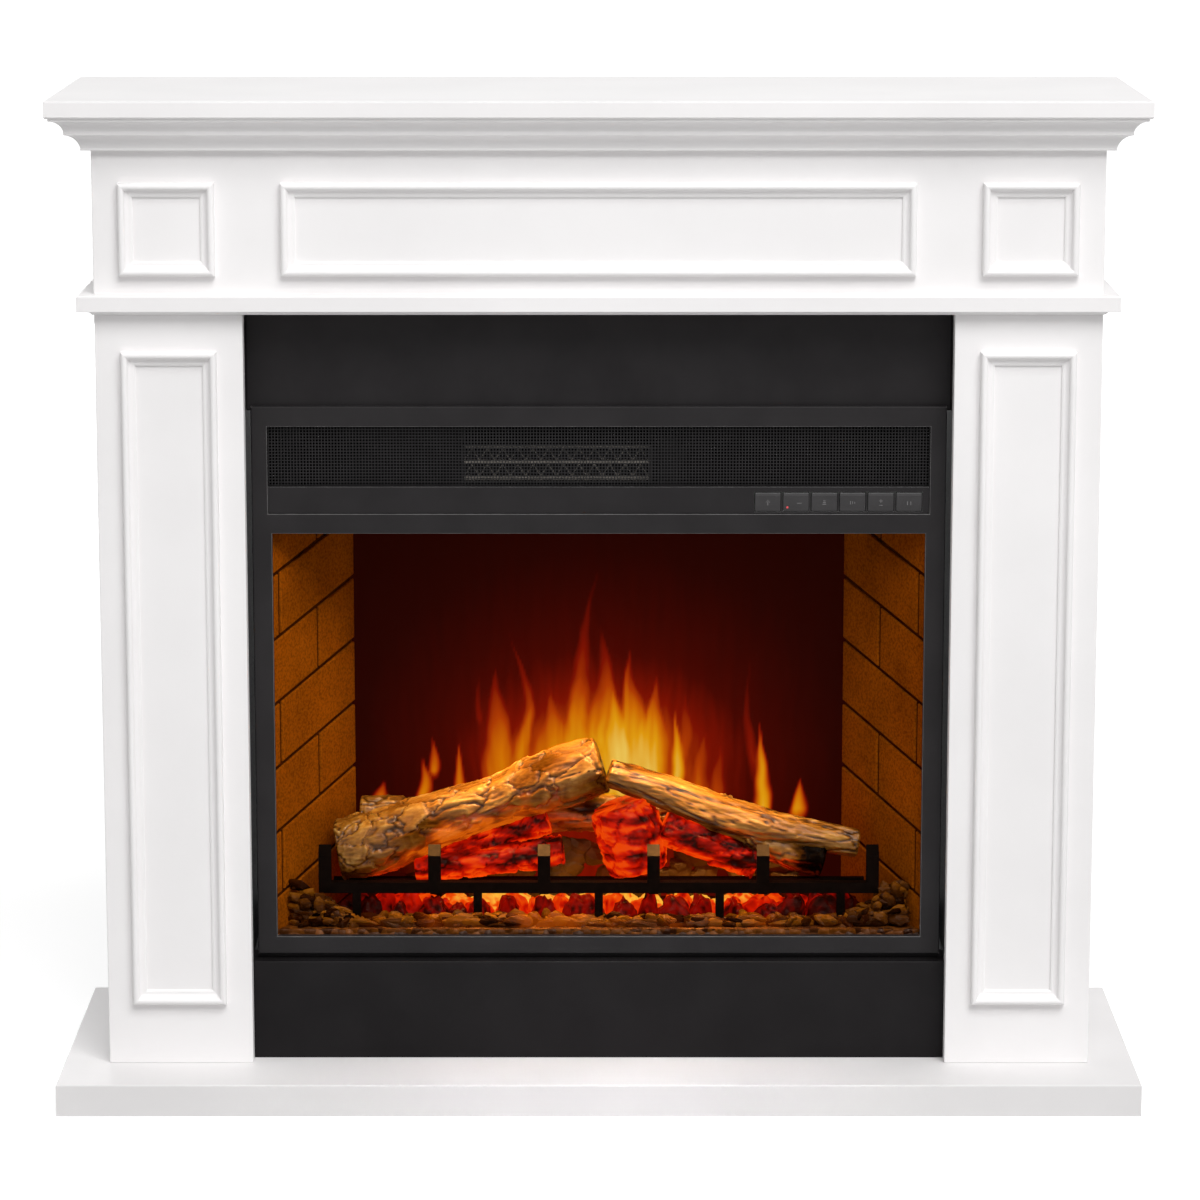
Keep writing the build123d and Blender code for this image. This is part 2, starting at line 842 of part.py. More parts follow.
def blower_wheel():
    """Cross-flow impeller: curved blades between discs on one shaft."""
    x_low, x_high = fan_left + sheet + wheel_end_gap, fan_right - sheet - wheel_end_gap
    shaft_ends = (fan_left - wheel_shaft_reach, fan_right + motor_length - wheel_shaft_reach)
    wheel = rod_x(*shaft_ends, fan_y, fan_z, wheel_shaft)
    for x in (x_low, (x_low + x_high) / 2, x_high - wheel_disc):
        wheel += rod_x(x, x + wheel_disc, fan_y, fan_z, wheel_radius)
    root_radius, tip_radius = wheel_radius - blade_depth, wheel_radius - blade_inset
    blades = []
    for index in range(wheel_blades):
        turn = 360 / wheel_blades * index
        angle = radians(turn)
        lead = radians(turn + blade_lead)
        root = (fan_y + root_radius * cos(angle), fan_z + root_radius * sin(angle))
        tip = (fan_y + tip_radius * cos(lead), fan_z + tip_radius * sin(lead))
        across = (-(tip[1] - root[1]), tip[0] - root[0])
        long = hypot(*across)
        shift = (across[0] / long * wheel_blade, across[1] / long * wheel_blade)
        corners = [
            root,
            tip,
            (tip[0] + shift[0], tip[1] + shift[1]),
            (root[0] + shift[0], root[1] + shift[1]),
        ]
        blades.append(along_x(corners, x_low + wheel_disc / 2, x_high - wheel_disc / 2))
    return wheel + blades


def blower_motor():
    """Motor on the outside of the right end plate, stood on the bay floor by its bracket."""
    body = rod_x(fan_right, fan_right + motor_length, fan_y, fan_z, motor_radius)
    core = block(
        span(fan_right + motor_length / 2, motor_length * 0.5),
        span(fan_y, motor_radius * 2.1),
        span(fan_z, motor_radius * 1.5),
    )
    foot = block(
        span(fan_right + motor_length / 2, motor_length * 0.5), span(fan_y, motor_radius), (bay_floor, fan_z)
    )
    bore_ends = (fan_right - sheet, fan_right + motor_length - motor_end)
    return body + core + foot - rod_x(*bore_ends, fan_y, fan_z, wheel_shaft + shaft_clearance)


# Fire scene

def brick_panel():
    """Splayed side lining with raked brick courses cut in its face."""
    inner_front = (lining_half, brick_front)
    inner_back = (screen_half_width, screen_front - running_gap)
    plan = [
        inner_front,
        inner_back,
        (inner_back[0] + brick_thickness, inner_back[1]),
        (inner_front[0] + brick_thickness, inner_front[1]),
    ]
    panel = prism(plan, casing_floor, glass_top)
    run = (inner_back[0] - inner_front[0], inner_back[1] - inner_front[1], 0)
    face = Plane(origin=(*inner_front, 0), x_dir=run, z_dir=(run[1], -run[0], 0))
    rake = degrees(atan2(brick_rise, brick_length))
    joints = []
    tall = glass_top - casing_floor
    for course in range(-1, int(tall / brick_course) + 1):
        level = casing_floor + brick_first_joint + course * brick_course
        slot = Box(brick_length * 1.2, brick_joint, 2 * brick_joint_depth)
        middle = level + brick_rise / 2
        joints.append(joint_at(face, brick_length / 2, middle, rake, slot))
        along = brick_length * (0.55 if course % 2 else 0.08)
        head = Box(brick_joint, brick_course, 2 * brick_joint_depth)
        head_level = level + brick_rise * along / brick_length + brick_course / 2
        joints.append(joint_at(face, along, head_level, 0, head))
    return panel - joints


def joint_at(face, along, level, turn, shape):
    """Cutter placed on the lining's face, level measured upwards."""
    origin = face.origin + face.x_dir * along + Vector(0, 0, level)
    plane = Plane(origin=origin, x_dir=face.x_dir, z_dir=face.z_dir)
    sense = 1 if plane.y_dir.Z > 0 else -1
    return plane * Rot(0, 0, sense * turn) * shape


def flame_screen():
    half_width = screen_half_width + brick_thickness + screen_lap
    level = (casing_floor, glass_top)
    return block((-half_width, half_width), (screen_front, screen_front + screen_thickness), level)


def bed_plan(inset, y_low, y_high):
    """Plan of the space between the linings, drawn in by an inset."""
    slope = brick_splay / firebox_depth
    low = lining_half - slope * (y_low - brick_front) - inset
    high = lining_half - slope * (y_high - brick_front) - inset
    return [(-low, y_low), (low, y_low), (high, y_high), (-high, y_high)]


def ember_bed():
    """Hollow moulded tray that carries coals, stones and grate over the light strip."""
    y_low, y_high = brick_front, screen_front - running_gap
    tray = prism(bed_plan(running_gap + 0.3, y_low, y_high), casing_floor, bed_top)
    room = bed_plan(running_gap + bed_wall * 1.3, y_low + bed_wall, y_high - bed_wall)
    return tray - prism(room, casing_floor - 1, bed_top - bed_wall)


def lump(x, y, radius, height, seed):
    """Rough six-sided stone standing on the bed, with flat broken sides."""
    corners = 6
    base, top = [], []
    for corner in range(corners):
        angle = 2 * pi * corner / corners + seed
        wide = radius * (0.84 + 0.16 * sin(seed * 3 + corner * 2.1))
        narrow = wide * (0.5 + 0.14 * sin(seed * 5))
        base.append(Vector(x + wide * cos(angle), y + wide * sin(angle), bed_top))
        lift = height * (0.9 + 0.1 * sin(seed))
        top.append(Vector(x + narrow * cos(angle), y + narrow * sin(angle), bed_top + lift))
    faces = [outline(base), outline(top)]
    for corner in range(corners):
        faces.append(outline([base[corner - 1], base[corner], top[corner], top[corner - 1]]))
    return Solid(Shell(faces))


def stones():
    """Grit along the front edge, with taller heaps in the two corners."""
    made = []
    y = brick_front + stone_band / 2 - 0.4
    pitch = stone_band * 0.95
    count = int((window_half - stone_end_gap) / pitch)
    for index in range(-count, count + 1):
        x = index * pitch
        seed = 1.3 * index + 0.4
        height = stone_height + stone_spread * sin(seed * 2.7) + stone_heap * max(0, abs(index) - count + 2)
        made.append(lump(x, y, pitch * 0.47, height, seed))
    return solids(made)


def coals():
    """Rows of coal pieces under the grate, between its front and back legs."""
    made = []
    y_low, y_high = grate_back + running_gap, rest_y() - grate_leg / 2 - running_gap
    pitch = (y_high - y_low) / coal_rows
    for row in range(coal_rows):
        y = y_low + (row + 0.5) * pitch
        wide = bed_plan(pitch, y, y + pitch)[1][0]
        count = int(2 * wide / pitch)
        for index in range(count):
            x = -wide + (index + 0.5) * 2 * wide / count
            seed = 0.9 * index + 2.3 * row
            height = coal_height + coal_spread * sin(seed * 1.9)
            made.append(lump(x, y, pitch * 0.47, height, seed))
    return solids(made)


def rest_y():
    """Depth at which the back rests of the grate stand."""
    return screen_front - log_back_radius - log_back_gap


def log_y():
    """Depth of the main logs, close behind the prongs."""
    return grate_back + running_gap + log_left_radius


def across(share):
    """Place across the fire, as a share of the screen's half width."""
    return share * screen_half_width


def prong_places():
    middle = (grate_prong_count - 1) / 2
    return [(index - middle) * grate_prong_pitch for index in range(grate_prong_count)]


def grate():
    """Front bar with upturned prongs, rails running back, rests and legs."""
    made = block((-grate_half_width, grate_half_width), (grate_front, grate_back), (bar_bottom, bar_top))
    tip = bar_top + grate_prong_height
    rest_top = back_log_z() - log_back_radius - running_gap
    pieces = []
    for x in prong_places():
        xs = span(x, grate_prong_width)
        pieces.append(along_x(
            [
                (grate_front, bar_bottom),
                (grate_back, bar_bottom),
                (grate_back, tip + grate_prong_bevel),
                (grate_front, tip),
            ],
            *xs,
        ))
    rail_level = (rail_top - grate_rail, rail_top)
    for x in prong_places()[1:-1]:
        rail = span(x, grate_rail)
        rest = span(rest_y(), grate_leg)
        pieces.append(block(rail, (grate_back - 1, rest[1]), rail_level))
        pieces.append(block(rail, rest, (rail_top - grate_rail, rest_top)))
    cross = grate_half_width - grate_prong_width
    pieces.append(block((-cross, cross), span(log_y(), grate_rail), rail_level))
    leg_reach = grate_half_width - grate_leg_inset
    for index in range(grate_leg_count):
        x = (2 * index / (grate_leg_count - 1) - 1) * leg_reach
        pieces.append(block(span(x, grate_leg), (grate_front, grate_back), (bed_top, bar_bottom)))
    for x in (prong_places()[1], prong_places()[-2]):
        pieces.append(block(span(x, grate_leg), span(rest_y(), grate_leg), (bed_top, rail_top)))
    return made + pieces


def rough_log(points, radii, sides, roughness, phase):
    """Log through the given axis points: faceted rings, knobbly but never fatter than its radius."""
    rings = []
    for index, point in enumerate(points):
        before = Vector(*points[max(index - 1, 0)])
        after = Vector(*points[min(index + 1, len(points) - 1)])
        axis = (after - before).normalized()
        side = Vector(0, 1, 0)
        upper = side.cross(axis)
        if upper.Z < 0:
            upper = upper * -1
        ring = []
        for corner in range(sides):
            angle = -pi / 2 + 2 * pi * corner / sides
            dip = 0.5 - 0.5 * cos(3 * (angle + pi / 2) + phase * index)
            reach = radii[index] * (1 - roughness * dip * (0 if corner == 0 else 1))
            ring.append(Vector(*point) + side * (reach * cos(angle)) + upper * (reach * sin(angle)))
        rings.append(Wire.make_polygon(ring))
    return Solid.make_loft(rings, ruled=True)


def log_axis(stations, y, low, climb):
    """Axis points at one depth, from pairs of a share across and a share of the climb."""
    return [(across(share), y, low + climb * part) for share, part in stations]


def low_end(radius, first, second, climb):
    """Axis height of a log whose low end, at its first station, lies on the rails."""
    slope = atan2(climb * abs(second[1] - first[1]), abs(across(second[0] - first[0])))
    return rail_top + running_gap + radius * cos(slope)


def log_left():
    """Thick log from the left end of the grate up to the peak."""
    stations = [(-1.055, 0), (-0.875, 0.09), (-0.655, 0.36), (-0.4, 0.58), (-0.18, 0.83), (0.013, 1)]
    radii = [log_left_radius * part for part in (0.965, 1, 0.9, 0.8, 0.95, 0.9)]
    low = low_end(radii[0], stations[0], stations[1], log_left_climb)
    return rough_log(log_axis(stations, log_y(), low, log_left_climb), radii, 14, 0.12, 1.1)


def log_right():
    """Thinner log from the peak to the right, forked near its low end."""
    branch = [(0.067, 0.99), (0.25, 0.81), (0.465, 0.56), (0.68, 0.38), (0.87, 0.274), (1.055, 0.19)]
    stub = [(0.605, 0.32), (0.76, 0.107), (0.915, 0)]
    branch_radii = [log_right_radius * part for part in (0.875, 1, 1.09, 1.06, 0.94, 0.78)]
    stub_radii = [log_right_radius * part for part in (0.8, 1, 1.15)]
    low = low_end(stub_radii[-1], stub[-1], stub[-2], log_right_climb)
    upper = rough_log(log_axis(branch, log_y(), low, log_right_climb), branch_radii, 12, 0.12, 0.8)
    return upper + rough_log(log_axis(stub, log_y(), low, log_right_climb), stub_radii, 12, 0.1, 1.7)


def back_log_z():
    return rail_top + log_back_rise


def log_back():
    """Level log on the rests, from the left lining to behind the right log."""
    stations = [(-0.98, 0), (-0.6, 0), (-0.2, 0), (0.2, 0), (0.55, 0)]
    radii = [log_back_radius * part for part in (1, 0.96, 1, 0.93, 1)]
    return rough_log(log_axis(stations, rest_y(), back_log_z(), 0), radii, 12, 0.1, 0.0)


def ember_log(stations, y, climb, radii):
    """Charred piece with its low end on the rails."""
    low = low_end(radii[0], stations[0], stations[1], climb)
    return rough_log(log_axis(stations, y, low, climb), radii, 10, 0.16, 0.9)


def ember_logs():
    """Charred pieces that glow under the two main logs."""
    r = ember_radius
    near = grate_back + running_gap + 1.1 * r
    far = log_y() + 0.75 * r
    low_left = [(-0.677, 0), (-0.419, 0.45), (-0.144, 1)]
    rear_left = [(-0.664, 0), (-0.419, 0.57), (-0.211, 1)]
    wide = [(0.22, 0), (0.127, 0.48), (0.017, 1)]
    thin = [(0.626, 0), (0.474, 0.5), (0.306, 1)]
    return solids([
        ember_log(low_left, near, ember_low_climb, [0.69 * r, 0.74 * r, 0.78 * r]),
        ember_log(rear_left, far, ember_rear_climb, [0.56 * r, 0.74 * r, 0.75 * r]),
        ember_log(wide, log_y(), ember_wide_climb, [1.44 * r, 1.62 * r, 1.38 * r]),
        ember_log(thin, log_y(), ember_thin_climb, [0.75 * r, 0.81 * r, 0.78 * r]),
    ])


def led_strips():
    """Light boards: one under the ember bed, one behind the flame spindle."""
    wide = (-spindle_half, spindle_half)
    under_y = brick_front + firebox_depth / 2
    floor = (casing_floor, casing_floor + circuit_board)
    low = block(wide, span(under_y, light_board), floor)
    rear = casing_back_y - 2 * sheet - circuit_board
    high = block(wide, (rear, rear + circuit_board), span(spindle_z, light_board))
    for index in range(light_chips):
        chip = span((index - (light_chips - 1) / 2) * 2 * spindle_half / light_chips, light_chip)
        low += block(chip, span(under_y, light_chip), (floor[1], floor[1] + light_chip_height))
        high += block(chip, (rear - light_chip_height, rear), span(spindle_z, light_chip))
    end = spindle_half - light_post_inset
    for x in (-end, 0, end):
        depth = (rear + circuit_board, casing_back_y - sheet)
        high += block(span(x, light_post), depth, span(spindle_z, light_post))
    return solids([low, high])


def flame_spindle():
    """Turning rod with bright foil vanes that throw moving light on the screen."""
    rod = rod_x(-spindle_half, spindle_half, spindle_y, spindle_z, spindle_radius)
    pitch = 2 * (spindle_half - vane_end_gap) / vane_count
    golden_turn = 137.5
    vanes = []
    for index in range(vane_count):
        x = (index + 0.5) * pitch - spindle_half + vane_end_gap
        vane = Box(pitch * 0.8, spindle_reach * 2, vane_sheet)
        vanes.append(Pos(x, spindle_y, spindle_z) * Rot(golden_turn * index, 0, 0) * vane)
    return rod + vanes


def shaft_bearing():
    """Post with a plain bearing for the free end of the spindle."""
    x = bearing_post - spindle_half
    height = (casing_floor, spindle_z + bearing_cap)
    post = block(span(x, bearing_post), span(spindle_y, bearing_width), height)
    bore = spindle_radius + shaft_clearance
    return post - rod_x(x - bearing_post, x + bearing_post, spindle_y, spindle_z, bore)


def spindle_motor():
    """Slow geared motor that drives the spindle, on its own foot."""
    x = spindle_half - gear_motor_lap
    body = rod_x(x, x + gear_motor_length, spindle_y, spindle_z, gear_motor_radius)
    foot = block((x, x + gear_foot), span(spindle_y, gear_foot_width), (casing_floor, spindle_z))
    bore = rod_x(x - sheet, x + gear_motor_bore, spindle_y, spindle_z, spindle_radius + shaft_clearance)
    return body + foot - bore


def node_table():
    crown, crown_reach = crown_section()
    ledge, ledge_reach = ledge_section()
    frieze_low = ledge_top + frieze_frame_rise
    frieze_levels = (frieze_low, frieze_low + frieze_frame_height)
    pilaster_levels = (hearth_top + pilaster_frame_rise, pilaster_top - pilaster_frame_drop)
    pilaster_frame = moulding_frame(panel_centre, panel_frame_width, *pilaster_levels)
    frieze_frame = moulding_frame(panel_centre, panel_frame_width, *frieze_levels)
    nodes = {
        "hearth_slab": hearth_slab(),
        "side_panel_right": side_panel(),
        "side_panel_left": mirrored(side_panel()),
        "pilaster_board_right": pilaster_board(),
        "pilaster_board_left": mirrored(pilaster_board()),
        "inner_cheek_right": inner_cheek(),
        "inner_cheek_left": mirrored(inner_cheek()),
        "pilaster_moulding_right": pilaster_frame,
        "pilaster_moulding_left": solids([mirrored(s) for s in pilaster_frame.solids()]),
        "frieze_board": frieze_board(),
        "frieze_moulding_squares": solids([frieze_frame] + [mirrored(s) for s in frieze_frame.solids()]),
        "frieze_moulding_centre": moulding_frame(0, centre_frame_width, *frieze_levels),
        "ledge_moulding": mitred_run(ledge, ledge_reach),
        "crown_moulding": mitred_run(crown, crown_reach),
        "mantel_shelf": mantel_shelf(),
        "upper_fascia": upper_fascia(),
        "lower_fascia": lower_fascia(),
        "soffit_batten": soffit_batten(),
        "insert_platform": insert_platform(),
        "back_rail": back_rail(),
        "wall_brackets": wall_brackets(),
        "front_frame": front_frame(),
        "casing_sides": solids([casing_side(), mirrored(casing_side())]),
        "casing_top": casing_top(),
        "casing_bottom": casing_bottom(),
        "casing_back": casing_back(),
        "cover_screws": cover_screws(),
        "cord_gland": cord_gland(),
        "heater_partition": heater_partition(),
        "glass_pane": glass_pane(),
        "control_panel": control_panel(),
        "key_lamp": key_lamp(),
        "switch_board": switch_board(),
        "outlet_grille": outlet_grille(),
        "heater_nozzle": heater_nozzle(),
        "ptc_heater": ptc_heater(),
        "blower_housing": blower_housing(),
        "blower_wheel": blower_wheel(),
        "blower_motor": blower_motor(),
        "brick_panel_right": brick_panel(),
        "brick_panel_left": mirrored(brick_panel()),
        "flame_screen": flame_screen(),
        "ember_bed": ember_bed(),
        "stones": stones(),
        "coals": coals(),
        "grate": grate(),
        "log_left": log_left(),
        "log_right": log_right(),
        "log_back": log_back(),
        "ember_logs": ember_logs(),
        "led_strips": led_strips(),
        "flame_spindle": flame_spindle(),
        "shaft_bearing": shaft_bearing(),
        "spindle_motor": spindle_motor(),
    }
    for index in range(key_count):
        nodes["button_%d" % (index + 1)] = key(index)
    return nodes


os.makedirs("parts", exist_ok=True)
for name, shape in node_table().items():
    export_step(shape, "parts/%s.step" % name)
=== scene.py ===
# %% [markdown]
# # Electric fireplace
# The imported model brings every board, panel and moving part in its place, in metres. It is loaded
# first, and its parts are kept by name, so that their boxes can place the new pieces.

# %% Load the frame
import math
import random
import bmesh
import bpy
from mathutils import Matrix, Vector, noise


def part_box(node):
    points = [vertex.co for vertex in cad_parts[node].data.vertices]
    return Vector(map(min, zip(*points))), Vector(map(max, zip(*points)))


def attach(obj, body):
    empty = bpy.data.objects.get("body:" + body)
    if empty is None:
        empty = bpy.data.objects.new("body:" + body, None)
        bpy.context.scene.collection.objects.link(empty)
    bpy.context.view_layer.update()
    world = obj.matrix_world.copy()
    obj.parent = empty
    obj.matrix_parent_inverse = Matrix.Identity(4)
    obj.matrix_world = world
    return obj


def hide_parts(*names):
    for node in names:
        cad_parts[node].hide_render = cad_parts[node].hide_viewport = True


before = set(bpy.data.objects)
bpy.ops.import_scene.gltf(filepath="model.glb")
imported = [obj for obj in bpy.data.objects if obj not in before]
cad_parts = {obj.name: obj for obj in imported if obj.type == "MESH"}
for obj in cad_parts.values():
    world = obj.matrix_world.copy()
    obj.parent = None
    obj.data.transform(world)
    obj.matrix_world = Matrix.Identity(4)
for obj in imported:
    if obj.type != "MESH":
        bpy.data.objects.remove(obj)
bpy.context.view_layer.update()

# %% [markdown]
# ## Tools for finishes
# Colours are picked as sRGB hex values, as in a paint chart, but shaders count in linear light, so one
# function converts them. Pattern sizes are given in millimetres: a texture's scale is how many of its
# features fit in a metre. One function adds a shader node with its settings and links.

# %% Colour, scale and node helpers
def linear(code):
    parts = [int(code[i:i + 2], 16) / 255 for i in (1, 3, 5)]
    return tuple(c / 12.92 if c <= 0.04045 else ((c + 0.055) / 1.055) ** 2.4 for c in parts) + (1.0,)


def per(size_mm):
    return 1000.0 / size_mm


def node(tree, kind, inputs=None, stops=None, **settings):
    made = tree.nodes.new(kind)
    for name, value in settings.items():
        setattr(made, name, value)
    for name, value in (inputs or {}).items():
        if isinstance(value, bpy.types.NodeSocket):
            tree.links.new(value, made.inputs[name])
        else:
            made.inputs[name].default_value = value
    for index, (place, code) in enumerate(stops or ()):
        ramp = made.color_ramp.elements
        stop = ramp[index] if index < 2 else ramp.new(place)
        stop.position = place
        stop.color = linear(code)
    return made


def new_material(name):
    made = bpy.data.materials.new(name)
    made.use_nodes = True
    print("material", name)
    return made, made.node_tree, made.node_tree.nodes["Principled BSDF"]


# %% [markdown]
# ## Coated and moulded surfaces
# Paint, powder coat, plastic and plated sheet share one make-up: two close tones in soft patches, and a
# finer grain that lifts the surface and breaks its gloss. Each finish below sets its own tones, then the
# sizes of patch, grain and relief in millimetres, then its roughness and how far that varies. Single
# numbers such as metallic or specular level go straight on the shader's sockets.

# %% A coated surface
metal = {"Metallic": 1.0}


def sheen(level):
    return {"Specular IOR Level": level}


def coated(name, dark, light, patch, grain, relief, roughness, spread, fixed=None, stretch=(1, 1, 1)):
    made, tree, shader = new_material(name)
    place = node(tree, "ShaderNodeTexCoord")
    run = node(tree, "ShaderNodeMapping", {"Vector": place.outputs["Object"], "Scale": stretch})
    cloud = node(tree, "ShaderNodeTexNoise", {"Vector": run.outputs[0], "Scale": per(patch), "Detail": 3.0})
    tone = node(tree, "ShaderNodeValToRGB", {"Fac": cloud.outputs[0]}, stops=((0.36, dark), (0.64, light)))
    grit = node(tree, "ShaderNodeTexNoise", {"Vector": run.outputs[0], "Scale": per(grain), "Detail": 2.0})
    gloss = node(tree, "ShaderNodeMapRange", {
        "Value": grit.outputs[0], "From Min": 0.3, "From Max": 0.7,
        "To Min": roughness - spread, "To Max": roughness + spread,
    })
    bump = node(tree, "ShaderNodeBump", {
        "Height": grit.outputs[0], "Strength": 0.6, "Distance": relief / 1000})
    tree.links.new(tone.outputs[0], shader.inputs["Base Color"])
    tree.links.new(gloss.outputs[0], shader.inputs["Roughness"])
    tree.links.new(bump.outputs[0], shader.inputs["Normal"])
    for socket, value in (fixed or {}).items():
        shader.inputs[socket].default_value = value
    return made


# %% [markdown]
# The surround is fibreboard sprayed with a satin lacquer, which leaves a faint orange peel and hardly any
# tone change. Inside, the raw board shows its pressed fibre. The fascia has the same lacquer in black; the
# lower board takes a darker copy of it, as painted shade. The steel of the insert is powder coated, which is
# rougher to the eye.

# %% Finishes of the surround and the insert
finishes = {
    "white_lacquer": coated(
        "white satin lacquer", "#EFEDED", "#F3F1F1", 160, 2.4, 0.05, 0.42, 0.05, sheen(0.4)),
    # A greyer copy of the white lacquer for the hearth: painted shade.
    "shaded_hearth_lacquer": coated(
        "white satin lacquer, painted shade on hearth", "#E4E2E2", "#E8E6E6", 160, 2.4, 0.05, 0.5, 0.05, sheen(0.1)),
    "raw_board": coated("raw fibreboard", "#A67F54", "#B98F61", 5, 0.9, 0.08, 0.85, 0.05, None, (1, 1, 3)),
    "black_lacquer": coated(
        "black satin lacquer", "#1F1D1E", "#252324", 60, 2.2, 0.05, 0.44, 0.06, sheen(0.1)),
    "low_lacquer": coated(
        "black satin lacquer, painted shade on lower board", "#161415", "#1B191A", 60, 2.2, 0.05, 0.44, 0.06, sheen(0.1)),
    "black_steel": coated(
        "black powder coat on steel", "#201E1F", "#262425", 60, 1.4, 0.06, 0.42, 0.08, sheen(0.14)),
    "zinc_steel": coated("zinc plated steel", "#A9ACAE", "#C6C9CB", 14, 3.0, 0.02, 0.36, 0.1, metal),
    "black_plastic": coated(
        "black moulded ABS", "#211F20", "#252324", 40, 1.2, 0.04, 0.36, 0.05, sheen(0.12)),
    "rubber": coated("black EPDM rubber", "#131313", "#1B1B1B", 8, 0.8, 0.05, 0.72, 0.06),
    "circuit_board": coated("green glass-epoxy board", "#15502C", "#1F6A3B", 3, 1.2, 0.03, 0.3, 0.06),
    "aluminium": coated(
        "rolled aluminium", "#B9B8B4", "#D6D5D1", 6, 1.5, 0.02, 0.34, 0.08, metal, (0.2, 1, 1)),
    "motor_steel": coated(
        "laminated silicon steel", "#5E6063", "#83868A", 2, 1.0, 0.05, 0.42, 0.08, metal, (8, 1, 1)),
    "foil": coated("crinkled bright foil", "#C9C5BC", "#EAE6DD", 5, 3.0, 0.4, 0.2, 0.08, metal),
    "dark_steel": coated("phosphated steel", "#0A0909", "#121010", 20, 1.2, 0.04, 0.55, 0.08, sheen(0.1)),
    "fins": coated(
        "darkened aluminium", "#8E8880", "#A29B91", 6, 1.5, 0.02, 0.45, 0.08, sheen(0.3)),
    "cast_iron": coated(
        "sand-cast iron, stove black", "#080403", "#100806", 9, 1.6, 0.18, 0.62, 0.1, sheen(0.04)),
}
print("finishes", len(finishes))

# %% [markdown]
# The second of the six keys has a red lens. A lens is dyed clear plastic with a lamp behind it, so its
# colour is given as light and not only as paint.

# %% Red lens
lens, tree, shader = new_material("red dyed lens")
shader.inputs["Base Color"].default_value = linear("#7A1F1F")
shader.inputs["Roughness"].default_value = 0.2
place = node(tree, "ShaderNodeTexCoord")
spot = node(tree, "ShaderNodeTexNoise", {"Vector": place.outputs["Object"], "Scale": per(0.8)})
glow = node(tree, "ShaderNodeValToRGB", {"Fac": spot.outputs[0]}, stops=((0.3, "#B03038"), (0.7, "#E8505A")))
tree.links.new(glow.outputs[0], shader.inputs["Emission Color"])
shader.inputs["Emission Strength"].default_value = 0.8
finishes["red_lens"] = lens

# %% [markdown]
# The window is a flat sheet of heat-resistant glass. It is clear from the front and shines at a shallow
# angle, so it is a see-through shader with a mirror mixed in. Schlick's rule gives the mirror's share: the
# fifth power of how far the face turns away, the same on both sides of the pane. The small share at a
# right angle is left out, because the real pane faces a dark room and hardly reflects.

# %% Window glass
glass, tree, shader = new_material("clear heat-resistant glass")
tree.nodes.remove(shader)
turned = node(tree, "ShaderNodeLayerWeight", {"Blend": 0.5})
share = node(tree, "ShaderNodeMath", {0: turned.outputs["Facing"], 1: 5.0}, operation="POWER")
through = node(tree, "ShaderNodeBsdfTransparent", {"Color": linear("#F4EFEA")})
mirror = node(tree, "ShaderNodeBsdfGlossy", {"Roughness": 0.03})
both = node(tree, "ShaderNodeMixShader", {0: share.outputs[0], 1: through.outputs[0], 2: mirror.outputs[0]})
tree.links.new(both.outputs[0], tree.nodes["Material Output"].inputs["Surface"])
finishes["clear_glass"] = glass

# %% [markdown]
# ## Pieces
# New meshes are drawn in millimetres and scaled to metres at the end. Each piece rides on a body of the
# frame and takes the place of the plain solid that it stands for. Two shapes come back all the time, so
# they are functions: a plain bar, and a round on sharp edges.

# %% Make a piece
def piece(name, mesh, materials, stands_for=(), body="surround", smooth=False, unit=0.001):
    bmesh.ops.scale(mesh, vec=(unit,) * 3, verts=mesh.verts)
    data = bpy.data.meshes.new(name)
    mesh.to_mesh(data)
    mesh.free()
    for material in materials:
        data.materials.append(material)
    for face in data.polygons:
        face.use_smooth = smooth
    made = bpy.data.objects.new(name, data)
    bpy.context.scene.collection.objects.link(made)
    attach(made, body)
    if stands_for:
        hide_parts(*stands_for)
    print(name, "faces", len(data.polygons))
    return made


def bar(mesh, low, high, material=0):
    size = [b - a for a, b in zip(low, high)]
    middle = [(a + b) / 2 for a, b in zip(low, high)]
    made = bmesh.ops.create_cube(mesh, matrix=Matrix.Translation(middle) @ Matrix.Diagonal(size + [1]))
    for face in {f for v in made["verts"] for f in v.link_faces}:
        face.material_index = material


def round_edges(mesh, edges, width, segments=2, material=-1):
    bmesh.ops.bevel(
        mesh, geom=edges, offset=width, offset_type="OFFSET", segments=segments, profile=0.5,
        affect="EDGES", material=material, clamp_overlap=True)


# %% [markdown]
# Sawn boards meet the hand with their edges taken off. The solids have sharp edges on most boards, so each
# board that shows is copied, its triangles are joined back to plain faces, and every edge gets a small
# round. At a joint the two rounds make the fine line that a real joint shows. The cut faces of mitred
# lengths lie against each other and never show, so they are taken away first.

# %% Boards with eased edges
def is_mitre(face, close=0.02):
    x, y, z = (abs(v) for v in face.normal)
    return z < close and abs(x - y) < close


def eased(name, width, slot, highlight=None, sharpest=35):
    mesh = bmesh.new()
    mesh.from_mesh(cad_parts[name].data)
    bmesh.ops.delete(mesh, geom=[f for f in mesh.faces if is_mitre(f)], context="FACES")
    bmesh.ops.remove_doubles(mesh, verts=mesh.verts, dist=1e-6)
    bmesh.ops.dissolve_limit(mesh, angle_limit=math.radians(1), verts=mesh.verts, edges=mesh.edges)
    edges = [e for e in mesh.edges if e.is_manifold and e.calc_face_angle() > math.radians(sharpest)]
    round_edges(mesh, edges, width / 1000, material=1 if highlight else -1)
    return piece(name + "_eased", mesh, [finishes[slot], highlight or finishes[slot]], [name], unit=1)


